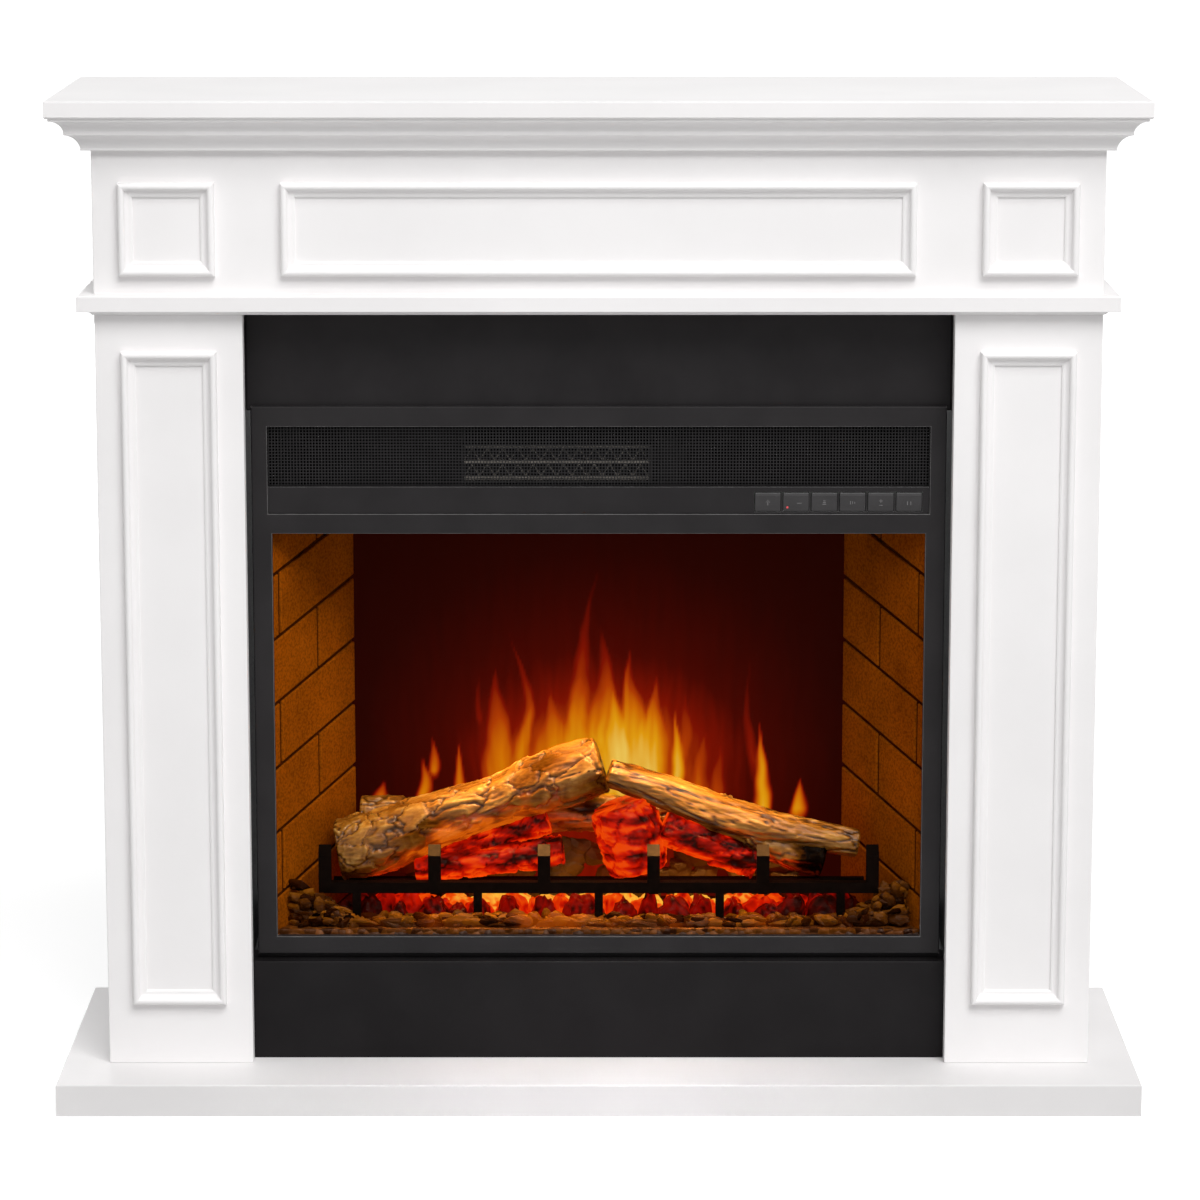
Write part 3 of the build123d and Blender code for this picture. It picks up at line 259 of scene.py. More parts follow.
for board in ("pilaster_board_right", "pilaster_board_left", "side_panel_right", "side_panel_left",
              "frieze_board"):
    eased(board, 0.9, "white_lacquer")
for board in ("ledge_moulding", "crown_moulding"):
    eased(board, 0.5, "white_lacquer")
eased("upper_fascia", 0.8, "black_lacquer")
# The lower board takes the darker copy of the black lacquer: painted shade.
eased("lower_fascia", 0.8, "black_lacquer").data.materials[0] = finishes["low_lacquer"]
# The rounds on the insert's frame and key strip take a lighter grey: a painted highlight for the thin bright
# lines that these edges show in the light.
edge_highlight = coated(
    "painted highlight on powder coat edge", "#4E4C4C", "#605E5E", 12, 1.4, 0.04, 0.36, 0.08, sheen(0.3))
eased("front_frame", 0.5, "black_steel", edge_highlight)
eased("control_panel", 0.5, "black_plastic", edge_highlight)

# %% [markdown]
# The grate is cast iron, blackened as stoves are. On the middle prongs, the faces that turn upward at the
# tips catch the warm light from above, and that light is painted on them in straw colour, as a painted
# highlight. They could be pieces of their own, but the highlight has no shape to model, so the faces on top
# of the prongs just take a second material.

# %% Grate with a painted highlight on the prong tips
tip_highlight = coated("straw highlight painted on iron", "#3A2A14", "#4A371C", 5, 1.2, 0.08, 0.5, 0.08, sheen(0.1))
tip_deep, upward, prongs_half = 0.0095, 0.25, 0.2
grate = eased("grate", 0.9, "cast_iron")
grate.data.materials[1] = tip_highlight
tip_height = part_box("grate")[1].z - tip_deep
for face in grate.data.polygons:
    if face.normal.z > upward and face.center.z > tip_height and abs(face.center.x) < prongs_half:
        face.material_index = 1
print("tinted faces", sum(face.material_index for face in grate.data.polygons))

# %% [markdown]
# ## Warm-air outlet
# A woven steel mesh closes the outlet. Its real pitch is about two millimetres, which would melt to grey
# in the picture, so it is drawn a little coarser, as real wires: uprights in front, level wires behind.

# %% Outlet mesh
mesh_low, mesh_high = [v * 1000 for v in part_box("outlet_grille")]
pitch, wire, layer = 2.9, 0.95, 0.5
mesh = bmesh.new()
for index in range(int((mesh_high.x - mesh_low.x) / pitch) + 1):
    x = mesh_low.x + index * pitch
    bar(mesh, (x, mesh_low.y, mesh_low.z), (x + wire, mesh_low.y + layer, mesh_high.z))
for index in range(int((mesh_high.z - mesh_low.z) / pitch) + 1):
    z = mesh_low.z + index * pitch
    bar(mesh, (mesh_low.x, mesh_low.y + layer, z), (mesh_high.x, mesh_high.y, z + wire))
wires = coated("black oxide steel wire", "#161415", "#1E1C1D", 20, 1.0, 0.02, 0.5, 0.08, sheen(0.2))
piece("outlet_mesh", mesh, [wires], ["outlet_grille"])

# %% [markdown]
# Behind the fan, a pad of black foam lies over the intake slots of the rear cover, so that the space seen
# through the mesh is dark: painted shade for the dark inside of the housing. It is a sheet cut to a grid,
# with its face pushed in and out a little, as open foam is.

# %% Dark pad behind the fan, painted shade
cover_y = (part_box("casing_back")[0] * 1000).y
bay_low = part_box("heater_partition")[1].z * 1000
pad_half, pad_thick, pad_backing, pad_cell, pad_relief = 290, 5, 2, 9, 0.9
pad_bottom, pad_top = bay_low + 2, bay_low + 76
mesh = bmesh.new()
bar(mesh, (-pad_half, cover_y - pad_thick, pad_bottom), (pad_half, cover_y, pad_top))
bmesh.ops.subdivide_edges(mesh, edges=mesh.edges[:], cuts=24, use_grid_fill=True)
for vert in mesh.verts:
    if vert.co.y < cover_y - pad_backing:
        vert.co.y += pad_relief * (noise.noise(vert.co / pad_cell) - 0.6)
shade_foam = coated("black open-cell foam", "#090808", "#110F0F", 4, 1.5, 0.6, 0.95, 0.04, sheen(0.05))
piece("shade_pad", mesh, [shade_foam], smooth=True)

# %% [markdown]
# ## Keys
# A key is a moulded cap with a face that leans back at the top, where it catches the light. Its outline
# from the side is drawn with six points, pulled out to the key's width and rounded on every edge. Each
# one rides on its own body, so it still pushes in.

# %% Key caps
half_wide, half_tall, key_back, key_round, stem_half, stroke = 12.05, 8.95, -63.0, 0.7, 2.5, 0.7
key_print = coated("grey key print", "#5C5A5B", "#6A6869", 3, 0.8, 0.0, 0.5, 0.04)
key_plastic = coated(
    "black satin ABS key", "#262425", "#2C2A2B", 12, 1.0, 0.02, 0.32, 0.04, sheen(0.34))


def tick_marks(number, x, z):
    # middle x, middle z, width and height of each stroke
    arrow = [(x - 1.6 + 0.8 * i, z + 1.8 - 0.9 * abs(i - 2), stroke, stroke) for i in range(5)]
    rows = {
        1: arrow + [(x, z - 1.4, stroke, 3.2)],
        2: [(x + 3.0, z - 1.0, 4.4, stroke)],
        3: [(x, z - 2.0 + 1.6 * i, 3.6 - 0.8 * i, stroke) for i in range(3)],
        4: [(x - 2.0 + 2.0 * i, z - 0.5, stroke, 3.2 - 0.7 * i) for i in range(3)],
        5: [(x, z + 1.2, 3.2, stroke), (x, z + 1.2, stroke, 3.2), (x, z - 3.0, 3.2, stroke)],
        6: [(x - 1.5, z - 1.0, stroke, 3.4), (x + 1.5, z - 1.0, stroke, 3.4)],
    }
    return rows[number]


for number in range(1, 7):
    name = "button_%d" % number
    low, high = [v * 1000 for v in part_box(name)]
    middle_x, middle_z = (low.x + high.x) / 2, (low.z + high.z) / 2
    left, right = middle_x - half_wide, middle_x + half_wide
    bottom, top = middle_z - half_tall, middle_z + half_tall
    face = low.y
    outline = [
        (key_back, bottom), (key_back, top), (face + 1.0, top), (face, top - 3.6),
        (face + 0.3, bottom + 6.0), (face + 1.2, bottom),
    ]
    mesh = bmesh.new()
    side = mesh.faces.new([mesh.verts.new((left, y, z)) for y, z in outline])
    pulled = bmesh.ops.extrude_face_region(mesh, geom=[side])
    moved = [v for v in pulled["geom"] if isinstance(v, bmesh.types.BMVert)]
    bmesh.ops.translate(mesh, vec=(right - left, 0, 0), verts=moved)
    bmesh.ops.recalc_face_normals(mesh, faces=mesh.faces)
    round_edges(mesh, mesh.edges[:], key_round, segments=3)
    bar(mesh, (middle_x - stem_half, key_back, middle_z - stem_half),
        (middle_x + stem_half, high.y, middle_z + stem_half))
    for x, z, wide, tall in tick_marks(number, middle_x, middle_z):
        bar(mesh, (x - wide / 2, face + 0.02, z - tall / 2), (x + wide / 2, face + 0.6, z + tall / 2), 1)
    piece("key_cap_%d" % number, mesh, [key_plastic, key_print], [name], name)

# %% [markdown]
# ## Brick linings
# The side walls of the firebox are moulded panels that look like brick, with courses that climb towards
# the back to make the box look deeper. Each brick is drawn flat as a slanted four-sided face, pulled to
# its thickness, rounded, and trimmed to the panel. Darker mortar lies behind. The panel is drawn in its
# own plane, along, up and out, then turned into place.

# %% Brick and mortar
brick, tree, shader = new_material("cast buff brick, amber lit")
place = node(tree, "ShaderNodeTexCoord")
cloud = node(tree, "ShaderNodeTexNoise", {"Vector": place.outputs["Object"], "Scale": per(55), "Detail": 4.0})
tone = node(tree, "ShaderNodeValToRGB", {"Fac": cloud.outputs[0]}, stops=((0.3, "#A65B07"), (0.7, "#C46D0B")))
grit = node(tree, "ShaderNodeTexNoise", {"Vector": place.outputs["Object"], "Scale": per(2.5), "Detail": 4.0})
speck = node(tree, "ShaderNodeValToRGB", {"Fac": grit.outputs[0]}, stops=(
    (0.35, "#C8C8C8"), (0.6, "#FFFFFF")))
shade = node(tree, "ShaderNodeMix", {0: 1.0, 6: tone.outputs[0], 7: speck.outputs[0]}, data_type="RGBA",
             blend_type="MULTIPLY")
bump = node(tree, "ShaderNodeBump", {"Height": grit.outputs[0], "Strength": 0.5, "Distance": 0.0006})
tree.links.new(shade.outputs[2], shader.inputs["Base Color"])
tree.links.new(bump.outputs[0], shader.inputs["Normal"])
shader.inputs["Roughness"].default_value = 0.78
shader.inputs["Specular IOR Level"].default_value = 0.03
# Like the brick, the mortar has the colour it shows in amber firelight: painted firelight on lime mortar.
mortar = coated("raked lime mortar, amber lit", "#452304", "#562C06", 10, 1.4, 0.2, 0.9, 0.04, sheen(0.02))
finishes["brick_lining"] = brick

lining_low, lining_high = [v * 1000 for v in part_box("brick_panel_right")]
panel_thick = 5.5
front_x, back_x = lining_high.x - panel_thick, lining_low.x
front_y, back_y = lining_low.y, lining_high.y
floor_z, lintel_z = lining_low.z, lining_high.z
panel_long = math.hypot(front_x - back_x, back_y - front_y)
course_tall, rake_rise, joint, first_joint = 62.0, 38.7, 4.2, 48.8
mortar_back, mortar_face, brick_deep, overrun, arris = -4.6, -2.2, 3.0, 30, 1.1


def brick_wall(side):
    mesh = bmesh.new()
    bar(mesh, (0, 0, mortar_back), (panel_long, lintel_z - floor_z, mortar_face), 1)
    for course in range(-2, 7):
        level = first_joint + course * course_tall
        cut = panel_long * (0.55 if course % 2 else 0.08)
        for start, end in ((-overrun, cut - joint / 2), (cut + joint / 2, panel_long + overrun)):
            lower, upper = joint / 2, course_tall - joint / 2
            corners = []
            for along, lift in ((start, lower), (end, lower), (end, upper), (start, upper)):
                height = level + lift + rake_rise * along / panel_long
                corners.append(mesh.verts.new((along, height, -brick_deep)))
            flat = mesh.faces.new(corners)
            pulled = bmesh.ops.extrude_face_region(mesh, geom=[flat])
            top = [g for g in pulled["geom"] if isinstance(g, bmesh.types.BMVert)]
            bmesh.ops.translate(mesh, vec=(0, 0, brick_deep), verts=top)
            rim = [e for e in mesh.edges if all(v in top for v in e.verts)]
            round_edges(mesh, rim, arris)
    for spot, way in (((0, 0, 0), (-1, 0, 0)), ((panel_long, 0, 0), (1, 0, 0)), ((0, 0, 0), (0, -1, 0)),
                      ((0, lintel_z - floor_z, 0), (0, 1, 0))):
        whole = mesh.verts[:] + mesh.edges[:] + mesh.faces[:]
        bmesh.ops.bisect_plane(mesh, geom=whole, dist=1e-4, plane_co=spot, plane_no=way, clear_outer=True)
    bmesh.ops.holes_fill(mesh, edges=mesh.edges, sides=8)
    along = Vector((back_x - front_x, back_y - front_y, 0)).normalized()
    out = Vector((-along.y, along.x, 0))
    turn = Matrix((along, Vector((0, 0, 1)), out)).transposed().to_4x4()
    bmesh.ops.transform(mesh, matrix=Matrix.Translation((front_x, front_y, floor_z)) @ turn, verts=mesh.verts)
    if side == "left":
        bmesh.ops.scale(mesh, vec=(-1, 1, 1), verts=mesh.verts)
    bmesh.ops.recalc_face_normals(mesh, faces=mesh.faces)
    piece("brick_wall_" + side, mesh, [brick, mortar], ["brick_panel_" + side])


for side in ("right", "left"):
    brick_wall(side)

# %% [markdown]
# ## Flame screen
# Behind the logs stands a dark screen on which turning foil throws moving light from behind. One moment of
# that light is drawn here. The screen is a fine grid, and each of its points gets a heat from 0 to 1: a
# wide dim glow, and tongues that are wide at the foot and thin at the tip. A colour ramp then turns heat
# to light, from black through deep red and orange to yellow.

# %% Heat of the flames
# tip x, tip height, foot x, foot height, half width at the foot, heat, sideways bow (mm)
tongues = [
    (-4, 457, -15, 322, 10, 0.44, -7), (4, 408, 1, 300, 17, 0.56, 3), (25, 384, 46, 282, 19, 0.66, -4),
    (56, 360, 50, 270, 15, 0.72, 3), (77, 328, 74, 255, 7.5, 0.9, 2), (88, 356, 82, 288, 8, 0.4, 3),
    (104, 312, 98, 245, 11, 0.46, -2), (-96, 366, -103, 255, 17, 0.64, 5),
    (-83, 402, -74, 290, 7, 0.45, 8), (-115, 380, -113, 325, 5, 0.3, -2),
    (-42, 350, -52, 255, 26, 0.58, 4), (12, 352, 20, 255, 24, 0.93, 3), (50, 336, 44, 250, 20, 0.88, -3),
    (-22, 356, -16, 265, 20, 0.66, -3), (143, 380, 153, 280, 7, 0.36, -3),
    (160, 313, 158, 226, 8.5, 0.97, 2), (198, 264, 193, 226, 9, 0.93, 3),
    (-160, 306, -161, 274, 4.5, 0.72, 1), (-168, 286, -173, 246, 6.5, 0.8, 3),
    (-136, 300, -138, 250, 5.5, 0.78, -1), (-211, 262, -207, 232, 10, 0.88, -3),
    (-68, 335, -74, 250, 16, 0.6, -4), (30, 372, 26, 290, 9, 0.6, 3), (118, 300, 112, 240, 9, 0.42, 2),
]


def heat_at(x, z):
    wander = Vector((x / 38, z / 60, 4.7))
    x += 5.0 * noise.noise(wander) + 2.0 * noise.noise(wander * 3.1)
    # the wide dim glow, and the bright body low in the middle
    rise = max(0.0, (z - 290) / 156)
    heat = 0.045 + 0.3 * math.exp(-(x / 182) ** 2 - rise ** 2)
    body = 0.5 * math.exp(-((x - 8) / 96) ** 2 - max(0.0, (z - 288) / 58) ** 2)
    body *= min(1.0, max(0.12, (z - 215) / 40))
    # each tongue bends from foot to tip and narrows as it climbs
    strongest = second = 0.0
    for tip_x, tip_z, foot_x, foot_z, half, peak, bow in tongues:
        up = (z - foot_z) / (tip_z - foot_z) / 1.14
        if not -0.3 < up < 1:
            continue
        climb = max(up, 0.0)
        middle = foot_x + (tip_x - foot_x) * climb ** 1.2 + bow * math.sin(math.pi * climb * 1.3)
        reach = half * (1 - climb) ** 0.72 * (0.9 + 0.62 * math.sin(math.pi * min(1, climb + 0.15))) + 0.9
        off = abs(x - middle) / reach
        if off >= 1:
            continue
        foot_fade = min(1.0, (up + 0.3) / 0.35) * min(1.0, max(0.0, (z - 212) / 26))
        warm = peak * (1 - off ** 2) ** 1.15 * (1 - climb) ** 0.32 * foot_fade
        strongest, second = max(strongest, warm), max(second, min(strongest, warm))
    # fine upright streaks over everything
    streak = 1 + 0.1 * noise.noise(Vector((x / 5, z / 45, 1.3)))
    heat = max(heat, strongest * 0.9 + heat * 0.3)
    return min(1.0, (heat + body * (1 - heat) + 0.12 * second) * streak)


# %% [markdown]
# The screen is a thin sheet. Its front needs a point every two millimetres to hold the heat, while its
# edges and back are plain, so a grid is laid, its border is pulled back and the back is filled. The heat
# stays on the points as an attribute that the material reads. A picture of flames could do the same, but
# would blur when seen close.

# %% Flame screen
screen_low, screen_high = [v * 1000 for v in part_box("flame_screen")]
wide, tall = screen_high.x - screen_low.x, screen_high.z - screen_low.z
spacing, screen_thick = 2, 3
mesh = bmesh.new()
bmesh.ops.create_grid(mesh, x_segments=int(wide / spacing), y_segments=int(tall / spacing), size=0.5)
bmesh.ops.scale(mesh, vec=(wide, tall, 1), verts=mesh.verts)
bmesh.ops.rotate(mesh, matrix=Matrix.Rotation(math.radians(90), 3, "X"), verts=mesh.verts)
bmesh.ops.translate(mesh, vec=(0, screen_low.y, (screen_low.z + screen_high.z) / 2), verts=mesh.verts)
border = [e for e in mesh.edges if e.is_boundary]
pulled = bmesh.ops.extrude_edge_only(mesh, edges=border)["geom"]
moved = [g for g in pulled if isinstance(g, bmesh.types.BMVert)]
bmesh.ops.translate(mesh, vec=(0, screen_thick, 0), verts=moved)
bmesh.ops.edgeloop_fill(mesh, edges=[g for g in pulled if isinstance(g, bmesh.types.BMEdge)])
bmesh.ops.recalc_face_normals(mesh, faces=mesh.faces)
heat_layer = mesh.verts.layers.float.new("flame_heat")
for vert in mesh.verts:
    in_front = vert.co.y < screen_low.y + screen_thick / 2
    vert[heat_layer] = heat_at(vert.co.x, vert.co.z) if in_front else 0.0

flame, tree, shader = new_material("smoked acrylic flame screen")
shader.inputs["Base Color"].default_value = linear("#030101")
shader.inputs["Roughness"].default_value = 0.6
shader.inputs["Specular IOR Level"].default_value = 0.02
heat = node(tree, "ShaderNodeAttribute", attribute_name="flame_heat")
fire = node(tree, "ShaderNodeValToRGB", {"Fac": heat.outputs["Fac"]}, stops=(
    (0.0, "#120200"), (1.0, "#FFDC66"), (0.1, "#290401"), (0.25, "#4C0801"), (0.4, "#861502"),
    (0.54, "#BC4404"), (0.68, "#DE7A05"), (0.84, "#F2AE14")))
tree.links.new(fire.outputs[0], shader.inputs["Emission Color"])
shader.inputs["Emission Strength"].default_value = 1.0
finishes["flame_screen"] = flame
piece("flame_panel", mesh, [flame], ["flame_screen"])

# %% [markdown]
# ## Logs
# The logs are cast resin, painted as split wood. A log is a capped cylinder cut into many rings, bent to
# run through the points of its axis, then carved: cells of a Voronoi pattern become plates of bark with
# cracks between them, and a stretched noise gives the grain. Two values are kept on each point for the
# paint: how deep it lies in a crack, and the tone of its plate, which falls to black where the log is
# burnt and is lowered on the underside as painted shade. A third holds the glow from below.

# %% Carve a log
noise.seed_set(8)  # fixes the offsets of noise_vector, which follow the clock otherwise
skin = 0.99  # points further in lie on the end faces


def through(values, share):
    step = share * (len(values) - 1)
    first = min(int(step), len(values) - 2)
    f = step - first
    a, b = values[max(first - 1, 0)], values[first]
    c, d = values[first + 1], values[min(first + 2, len(values) - 1)]
    return b + (c - a + (2 * a - 5 * b + 4 * c - d + (3 * (b - c) + d - a) * f) * f) * (0.5 * f)


# plate: length and width of a plate of bark; depth: of the cracks; thin: width of a crack in plates;
# spacing: of the points; char: share of the length where the burnt end starts, over 1 for none;
# and last, how far the underside is painted dark, as painted shade
def carve_log(mesh, axis, radii, plate, depth, grain, glow, seed, thin=0.16, spacing=1.6, char=2.0,
              under_shade=0.0):
    points = [Vector(p) for p in axis]
    long = sum((b - a).length for a, b in zip(points, points[1:]))
    sides, rings = int(2 * math.pi * radii[0] / spacing), int(long / spacing)
    log = bmesh.new()
    crack_and_top_light, tone, ember = [log.verts.layers.float.new(n) for n in ("crack_and_top_light", "tone", "ember")]
    bmesh.ops.create_cone(log, cap_ends=True, segments=sides, radius1=1, radius2=1, depth=1)
    for cap in [f for f in log.faces if len(f.verts) > 4]:
        for _ in range(4):
            bmesh.ops.inset_individual(log, faces=[cap], thickness=0.2)
    runs = [e for e in log.edges if abs(e.verts[0].co.z - e.verts[1].co.z) > 0.5]
    bmesh.ops.subdivide_edges(log, edges=runs, cuts=rings)
    for vert in log.verts:
        share = min(max(vert.co.z + 0.5, 0.0), 1.0)
        reach = math.hypot(vert.co.x, vert.co.y)
        angle = math.atan2(vert.co.y, vert.co.x)
        centre, radius = through(points, share), through(radii, share)
        ahead = (through(points, min(share + 0.01, 1)) - through(points, max(share - 0.01, 0))).normalized()
        across = (Vector((0, 1, 0)) - ahead * ahead.y).normalized()
        upper = ahead.cross(across)
        way = across * math.cos(angle) + upper * math.sin(angle)
        spot = Vector((share * long / plate[0], way.y * radius / plate[1], way.z * radius / plate[1] + seed))
        spot += 0.5 * noise.noise_vector(spot * 1.3) + 0.12 * noise.noise_vector(spot * 5)
        near, cells = noise.voronoi(spot)
        edge = min(1.0, (near[1] - near[0]) / thin)
        shade = 0.5 + 0.5 * noise.noise(cells[0] * 3.7)
        fibre = noise.fractal(Vector((share * long / 30, angle * radius / 2.6, seed)), 1.0, 2.0, 3)
        flake = noise.fractal(spot * 2.2, 0.8, 2.2, 3)
        lump = noise.noise(Vector((share * long / 55, way.y * 1.2, way.z * 1.2 + seed)))
        tilt = 0.55 * (spot.x - cells[0].x) + 0.4 * (spot.z - cells[0].z)
        scale = edge * (0.55 + 0.45 * shade + tilt) + 0.3 * flake
        offset = depth * (scale - 0.6) + grain * fibre + 0.07 * radius * lump
        end = 1.0 - min(1.0, min(share, 1 - share) * long / 4)
        carved = radius + offset - 2.0 * end * end
        vert.co = centre + way * reach * carved + ahead * (reach < skin) * fibre * 0.8
        if reach > skin:
            vert[crack_and_top_light] = edge * (0.62 + 0.2 * fibre + 0.4 * flake)
        else:
            vert[crack_and_top_light] = 0.35 + 0.3 * math.sin(reach * 24)
        burnt_and_shaded = min(1.0, max(0.0, (share - char + 0.15 * fibre) / 0.25))
        # the underside is darkened as well: painted shade
        burnt_and_shaded = max(burnt_and_shaded, under_shade * min(1.0, max(0.0, 0.3 - 1.1 * way.z + 0.2 * fibre)))
        vert[tone] = (0.6 * shade + 0.4 * (0.5 + lump)) * (1 - burnt_and_shaded)
        vert[ember] = glow(vert.co, way, edge, fibre) if glow else 0.0
    bmesh.ops.recalc_face_normals(log, faces=log.faces)
    held = bpy.data.meshes.new("held")
    log.to_mesh(held)
    log.free()
    mesh.from_mesh(held)
    bpy.data.meshes.remove(held)


# %% [markdown]
# The paint follows the carving: dark umber in the cracks, tan to straw on the plates, each plate a touch
# different, with fine long streaks, and matt where it is dark, at a burnt end and on an underside with
# painted shade. Where the ember light comes through the thin resin, it adds its own glow, red or brown
# where it is weak and yellow where it is strong.

# %% Painted log resin and ember resin
ember_stops = (
    (0.0, "#000000"), (1.0, "#FFC040"), (0.2, "#2C0200"), (0.42, "#880700"), (0.62, "#CE1A01"),
    (0.82, "#F25408"))
log_stops = (
    (0.0, "#000000"), (1.0, "#FFA830"), (0.3, "#2A0A00"), (0.6, "#8A2C02"), (0.85, "#D0600A"))
amber_stops = ((0.0, "#000000"), (1.0, "#FFB020"), (0.25, "#3A1000"), (0.5, "#8A3A02"))


def fire_resin(name, paints, roughness, streak, specular, lights):
    made, tree, shader = new_material(name)
    crack_and_top_light = node(tree, "ShaderNodeAttribute", attribute_name="crack_and_top_light")
    tone = node(tree, "ShaderNodeAttribute", attribute_name="tone")
    ember = node(tree, "ShaderNodeAttribute", attribute_name="ember")
    place = node(tree, "ShaderNodeTexCoord")
    run = node(tree, "ShaderNodeMapping", {"Vector": place.outputs["Object"], "Scale": (0.25, 1, 1)})
    fine = node(tree, "ShaderNodeTexNoise", {"Vector": run.outputs[0], "Scale": per(streak), "Detail": 5.0})
    mixed = node(tree, "ShaderNodeMath", {0: fine.outputs[0], 1: 0.5, 2: -0.25}, operation="MULTIPLY_ADD")
    deep = node(tree, "ShaderNodeMath", {0: crack_and_top_light.outputs["Fac"], 1: mixed.outputs[0]}, operation="ADD",
                use_clamp=True)
    paint = node(tree, "ShaderNodeValToRGB", {"Fac": deep.outputs[0]}, stops=paints)
    wash = node(tree, "ShaderNodeValToRGB", {"Fac": tone.outputs["Fac"]}, stops=(
        (0.0, "#14100C"), (1.0, "#FFFFFF"), (0.2, "#A08C68"), (0.75, "#FFFFFF")))
    coat = node(tree, "ShaderNodeMix", {0: 1.0, 6: paint.outputs[0], 7: wash.outputs[0]}, data_type="RGBA",
                blend_type="MULTIPLY")
    light = node(tree, "ShaderNodeValToRGB", {"Fac": ember.outputs["Fac"]}, stops=lights)
    bump = node(tree, "ShaderNodeBump", {"Height": fine.outputs[0], "Strength": 0.7, "Distance": 0.0012})
    shine = node(tree, "ShaderNodeMapRange", {
        "Value": tone.outputs["Fac"], "From Min": 0.15, "From Max": 0.4, "To Min": 0.02, "To Max": specular})
    tree.links.new(coat.outputs[2], shader.inputs["Base Color"])
    tree.links.new(shine.outputs[0], shader.inputs["Specular IOR Level"])
    tree.links.new(light.outputs[0], shader.inputs["Emission Color"])
    tree.links.new(bump.outputs[0], shader.inputs["Normal"])
    shader.inputs["Emission Strength"].default_value = 1.2
    shader.inputs["Roughness"].default_value = roughness
    return made


finishes["log_resin"] = fire_resin("painted log resin", (
    (0.0, "#2A1604"), (1.0, "#F2CE7A"), (0.22, "#6E4612"), (0.5, "#AE7A28"), (0.78, "#CE9E44")),
    0.3, 3.0, 0.5, log_stops)
finishes["ember_resin"] = fire_resin("charred ember resin", (
    (0.0, "#060201"), (1.0, "#240703"), (0.5, "#120402")), 0.4, 4.0, 0.08, ember_stops)
finishes["stone_resin"] = fire_resin("amber stone resin", (
    (0.0, "#1A0A00"), (1.0, "#A2660C"), (0.5, "#583002")), 0.3, 2.0, 0.1, amber_stops)

# %% [markdown]
# Two logs lean on each other like a roof, a burnt stub forks off the right one, and a fourth lies across
# the back. The left log has broad plates of bark, glows from below and is painted darker underneath, as
# painted shade. The right one has lost its bark and shows long grain. All are carved by the one function,
# so only the sizes, the glow and the darkening differ.

# %% The four logs
def left_glow(spot, way, edge, fibre):
    under = min(1.0, max(0.0, -way.z * 0.9 + 0.42 - 0.1 * way.y))
    reach = math.exp(-((spot.x + 115) / 85) ** 2)
    patchy = 0.92 + 0.8 * noise.noise(spot / 13)
    return min(0.8, reach * under ** 1.3 * patchy * (0.95 + 0.4 * (1 - edge) + 0.3 * fibre))


def right_glow(spot, way, edge, fibre):
    under = min(1.0, max(0.0, -way.z * 0.8 - 0.1))
    return math.exp(-((spot.x - 70) / 60) ** 2) * under * (0.35 + 0.4 * (1 - edge))


front_line, rear_line, rear_height = 4.3, 49.8, 237.9
left_axis = [(x, front_line, z) for x, z in (
    (-250, 214), (-207, 222), (-155, 244), (-94.5, 262.5), (-42.5, 283), (3, 297))]
right_axis = [(x, front_line, z) for x, z in (
    (9, 289), (59, 272), (110, 251), (161, 236), (206, 227), (249.5, 220))]
stub_axis = [(x, front_line, z) for x, z in ((143, 231), (180, 213), (216, 204))]
back_axis = [(x, rear_line, rear_height) for x in (-231, -140, -47, 60, 130)]
mesh = bmesh.new()
carve_log(mesh, left_axis, [28.5, 30, 26.5, 23.5, 28, 26.5], (33, 20), 3.4, 0.8, left_glow, 0.3,
          thin=0.09, spacing=1.25, under_shade=0.72)
piece("bark_log_left", mesh, [finishes["log_resin"]], ["log_left"], smooth=True)
mesh = bmesh.new()
carve_log(mesh, right_axis, [14, 16, 17.5, 17, 15, 12.5], (110, 13), 1.3, 1.8, right_glow, 7.9,
          thin=0.1, spacing=1.25)
carve_log(mesh, stub_axis, [12.8, 16, 18.2], (26, 12), 2.6, 1.4, None, 3.1, char=0.45)
piece("bark_log_right", mesh, [finishes["log_resin"]], ["log_right"], smooth=True)
mesh = bmesh.new()
carve_log(mesh, back_axis, [17, 16.3, 17, 15.9, 17], (34, 14), 3.0, 1.0, None, 5.5)
piece("bark_log_back", mesh, [finishes["log_resin"]], ["log_back"], smooth=True)

# %% [markdown]
# Under the main logs lie charred pieces, cast in clear red resin and lit through from below. They are
# carved in the same way, with the glow in wavy veins, strongest on the middle piece and on lower halves.

# %% Glowing charred pieces
def vein_glow(spot, way, edge, fibre):
    wave = noise.fractal(Vector((spot.x / 34, spot.y / 20, spot.z / 9)), 1.0, 2.0, 3)
    level = 0.66 - 0.15 * min(1.0, max(0.0, abs(spot.x - 30) / 34 - 1))
    return min(0.76, max(0.1, level + 0.55 * wave - 0.25 * (1 - edge) - 0.1 * way.z))


mesh = bmesh.new()
for axis, radii, seed in (
    ([(-157, 14, 199), (-99, 14, 222), (-50, 14, 243)], [12, 15, 15], 1.7),
    ([(-176, -7, 196), (-99, -7, 206), (-34, -7, 216)], [11, 13.5, 14], 4.2),
    ([(38, 7, 192), (31, 8, 226), (20, 9, 258)], [27, 32, 29], 6.1),
    ([(152, 4, 199), (112, 4, 216), (62, 4, 238)], [14, 17, 17], 9.4),
):
    carve_log(mesh, axis, radii, (22, 12), 3.4, 1.4, vein_glow, seed)
piece("ember_pieces", mesh, [finishes["ember_resin"]], ["ember_logs"], smooth=True)

# %% [markdown]
# ## Coals and stones
# The bed is a moulded tray strewn with resin lumps. Each lump is a small ball of triangles pushed in and
# out by noise, with flat faces left as broken stone has them. The coals behind the bar glow: the first
# row is dark with red veins, and the rows behind it run from orange to yellow. Dull lumps dusted with ash
# are piled behind them, under the logs. Along the glass lie amber stones, heaped up in the two corners.

# %% A broken lump
chance = random.Random(11)


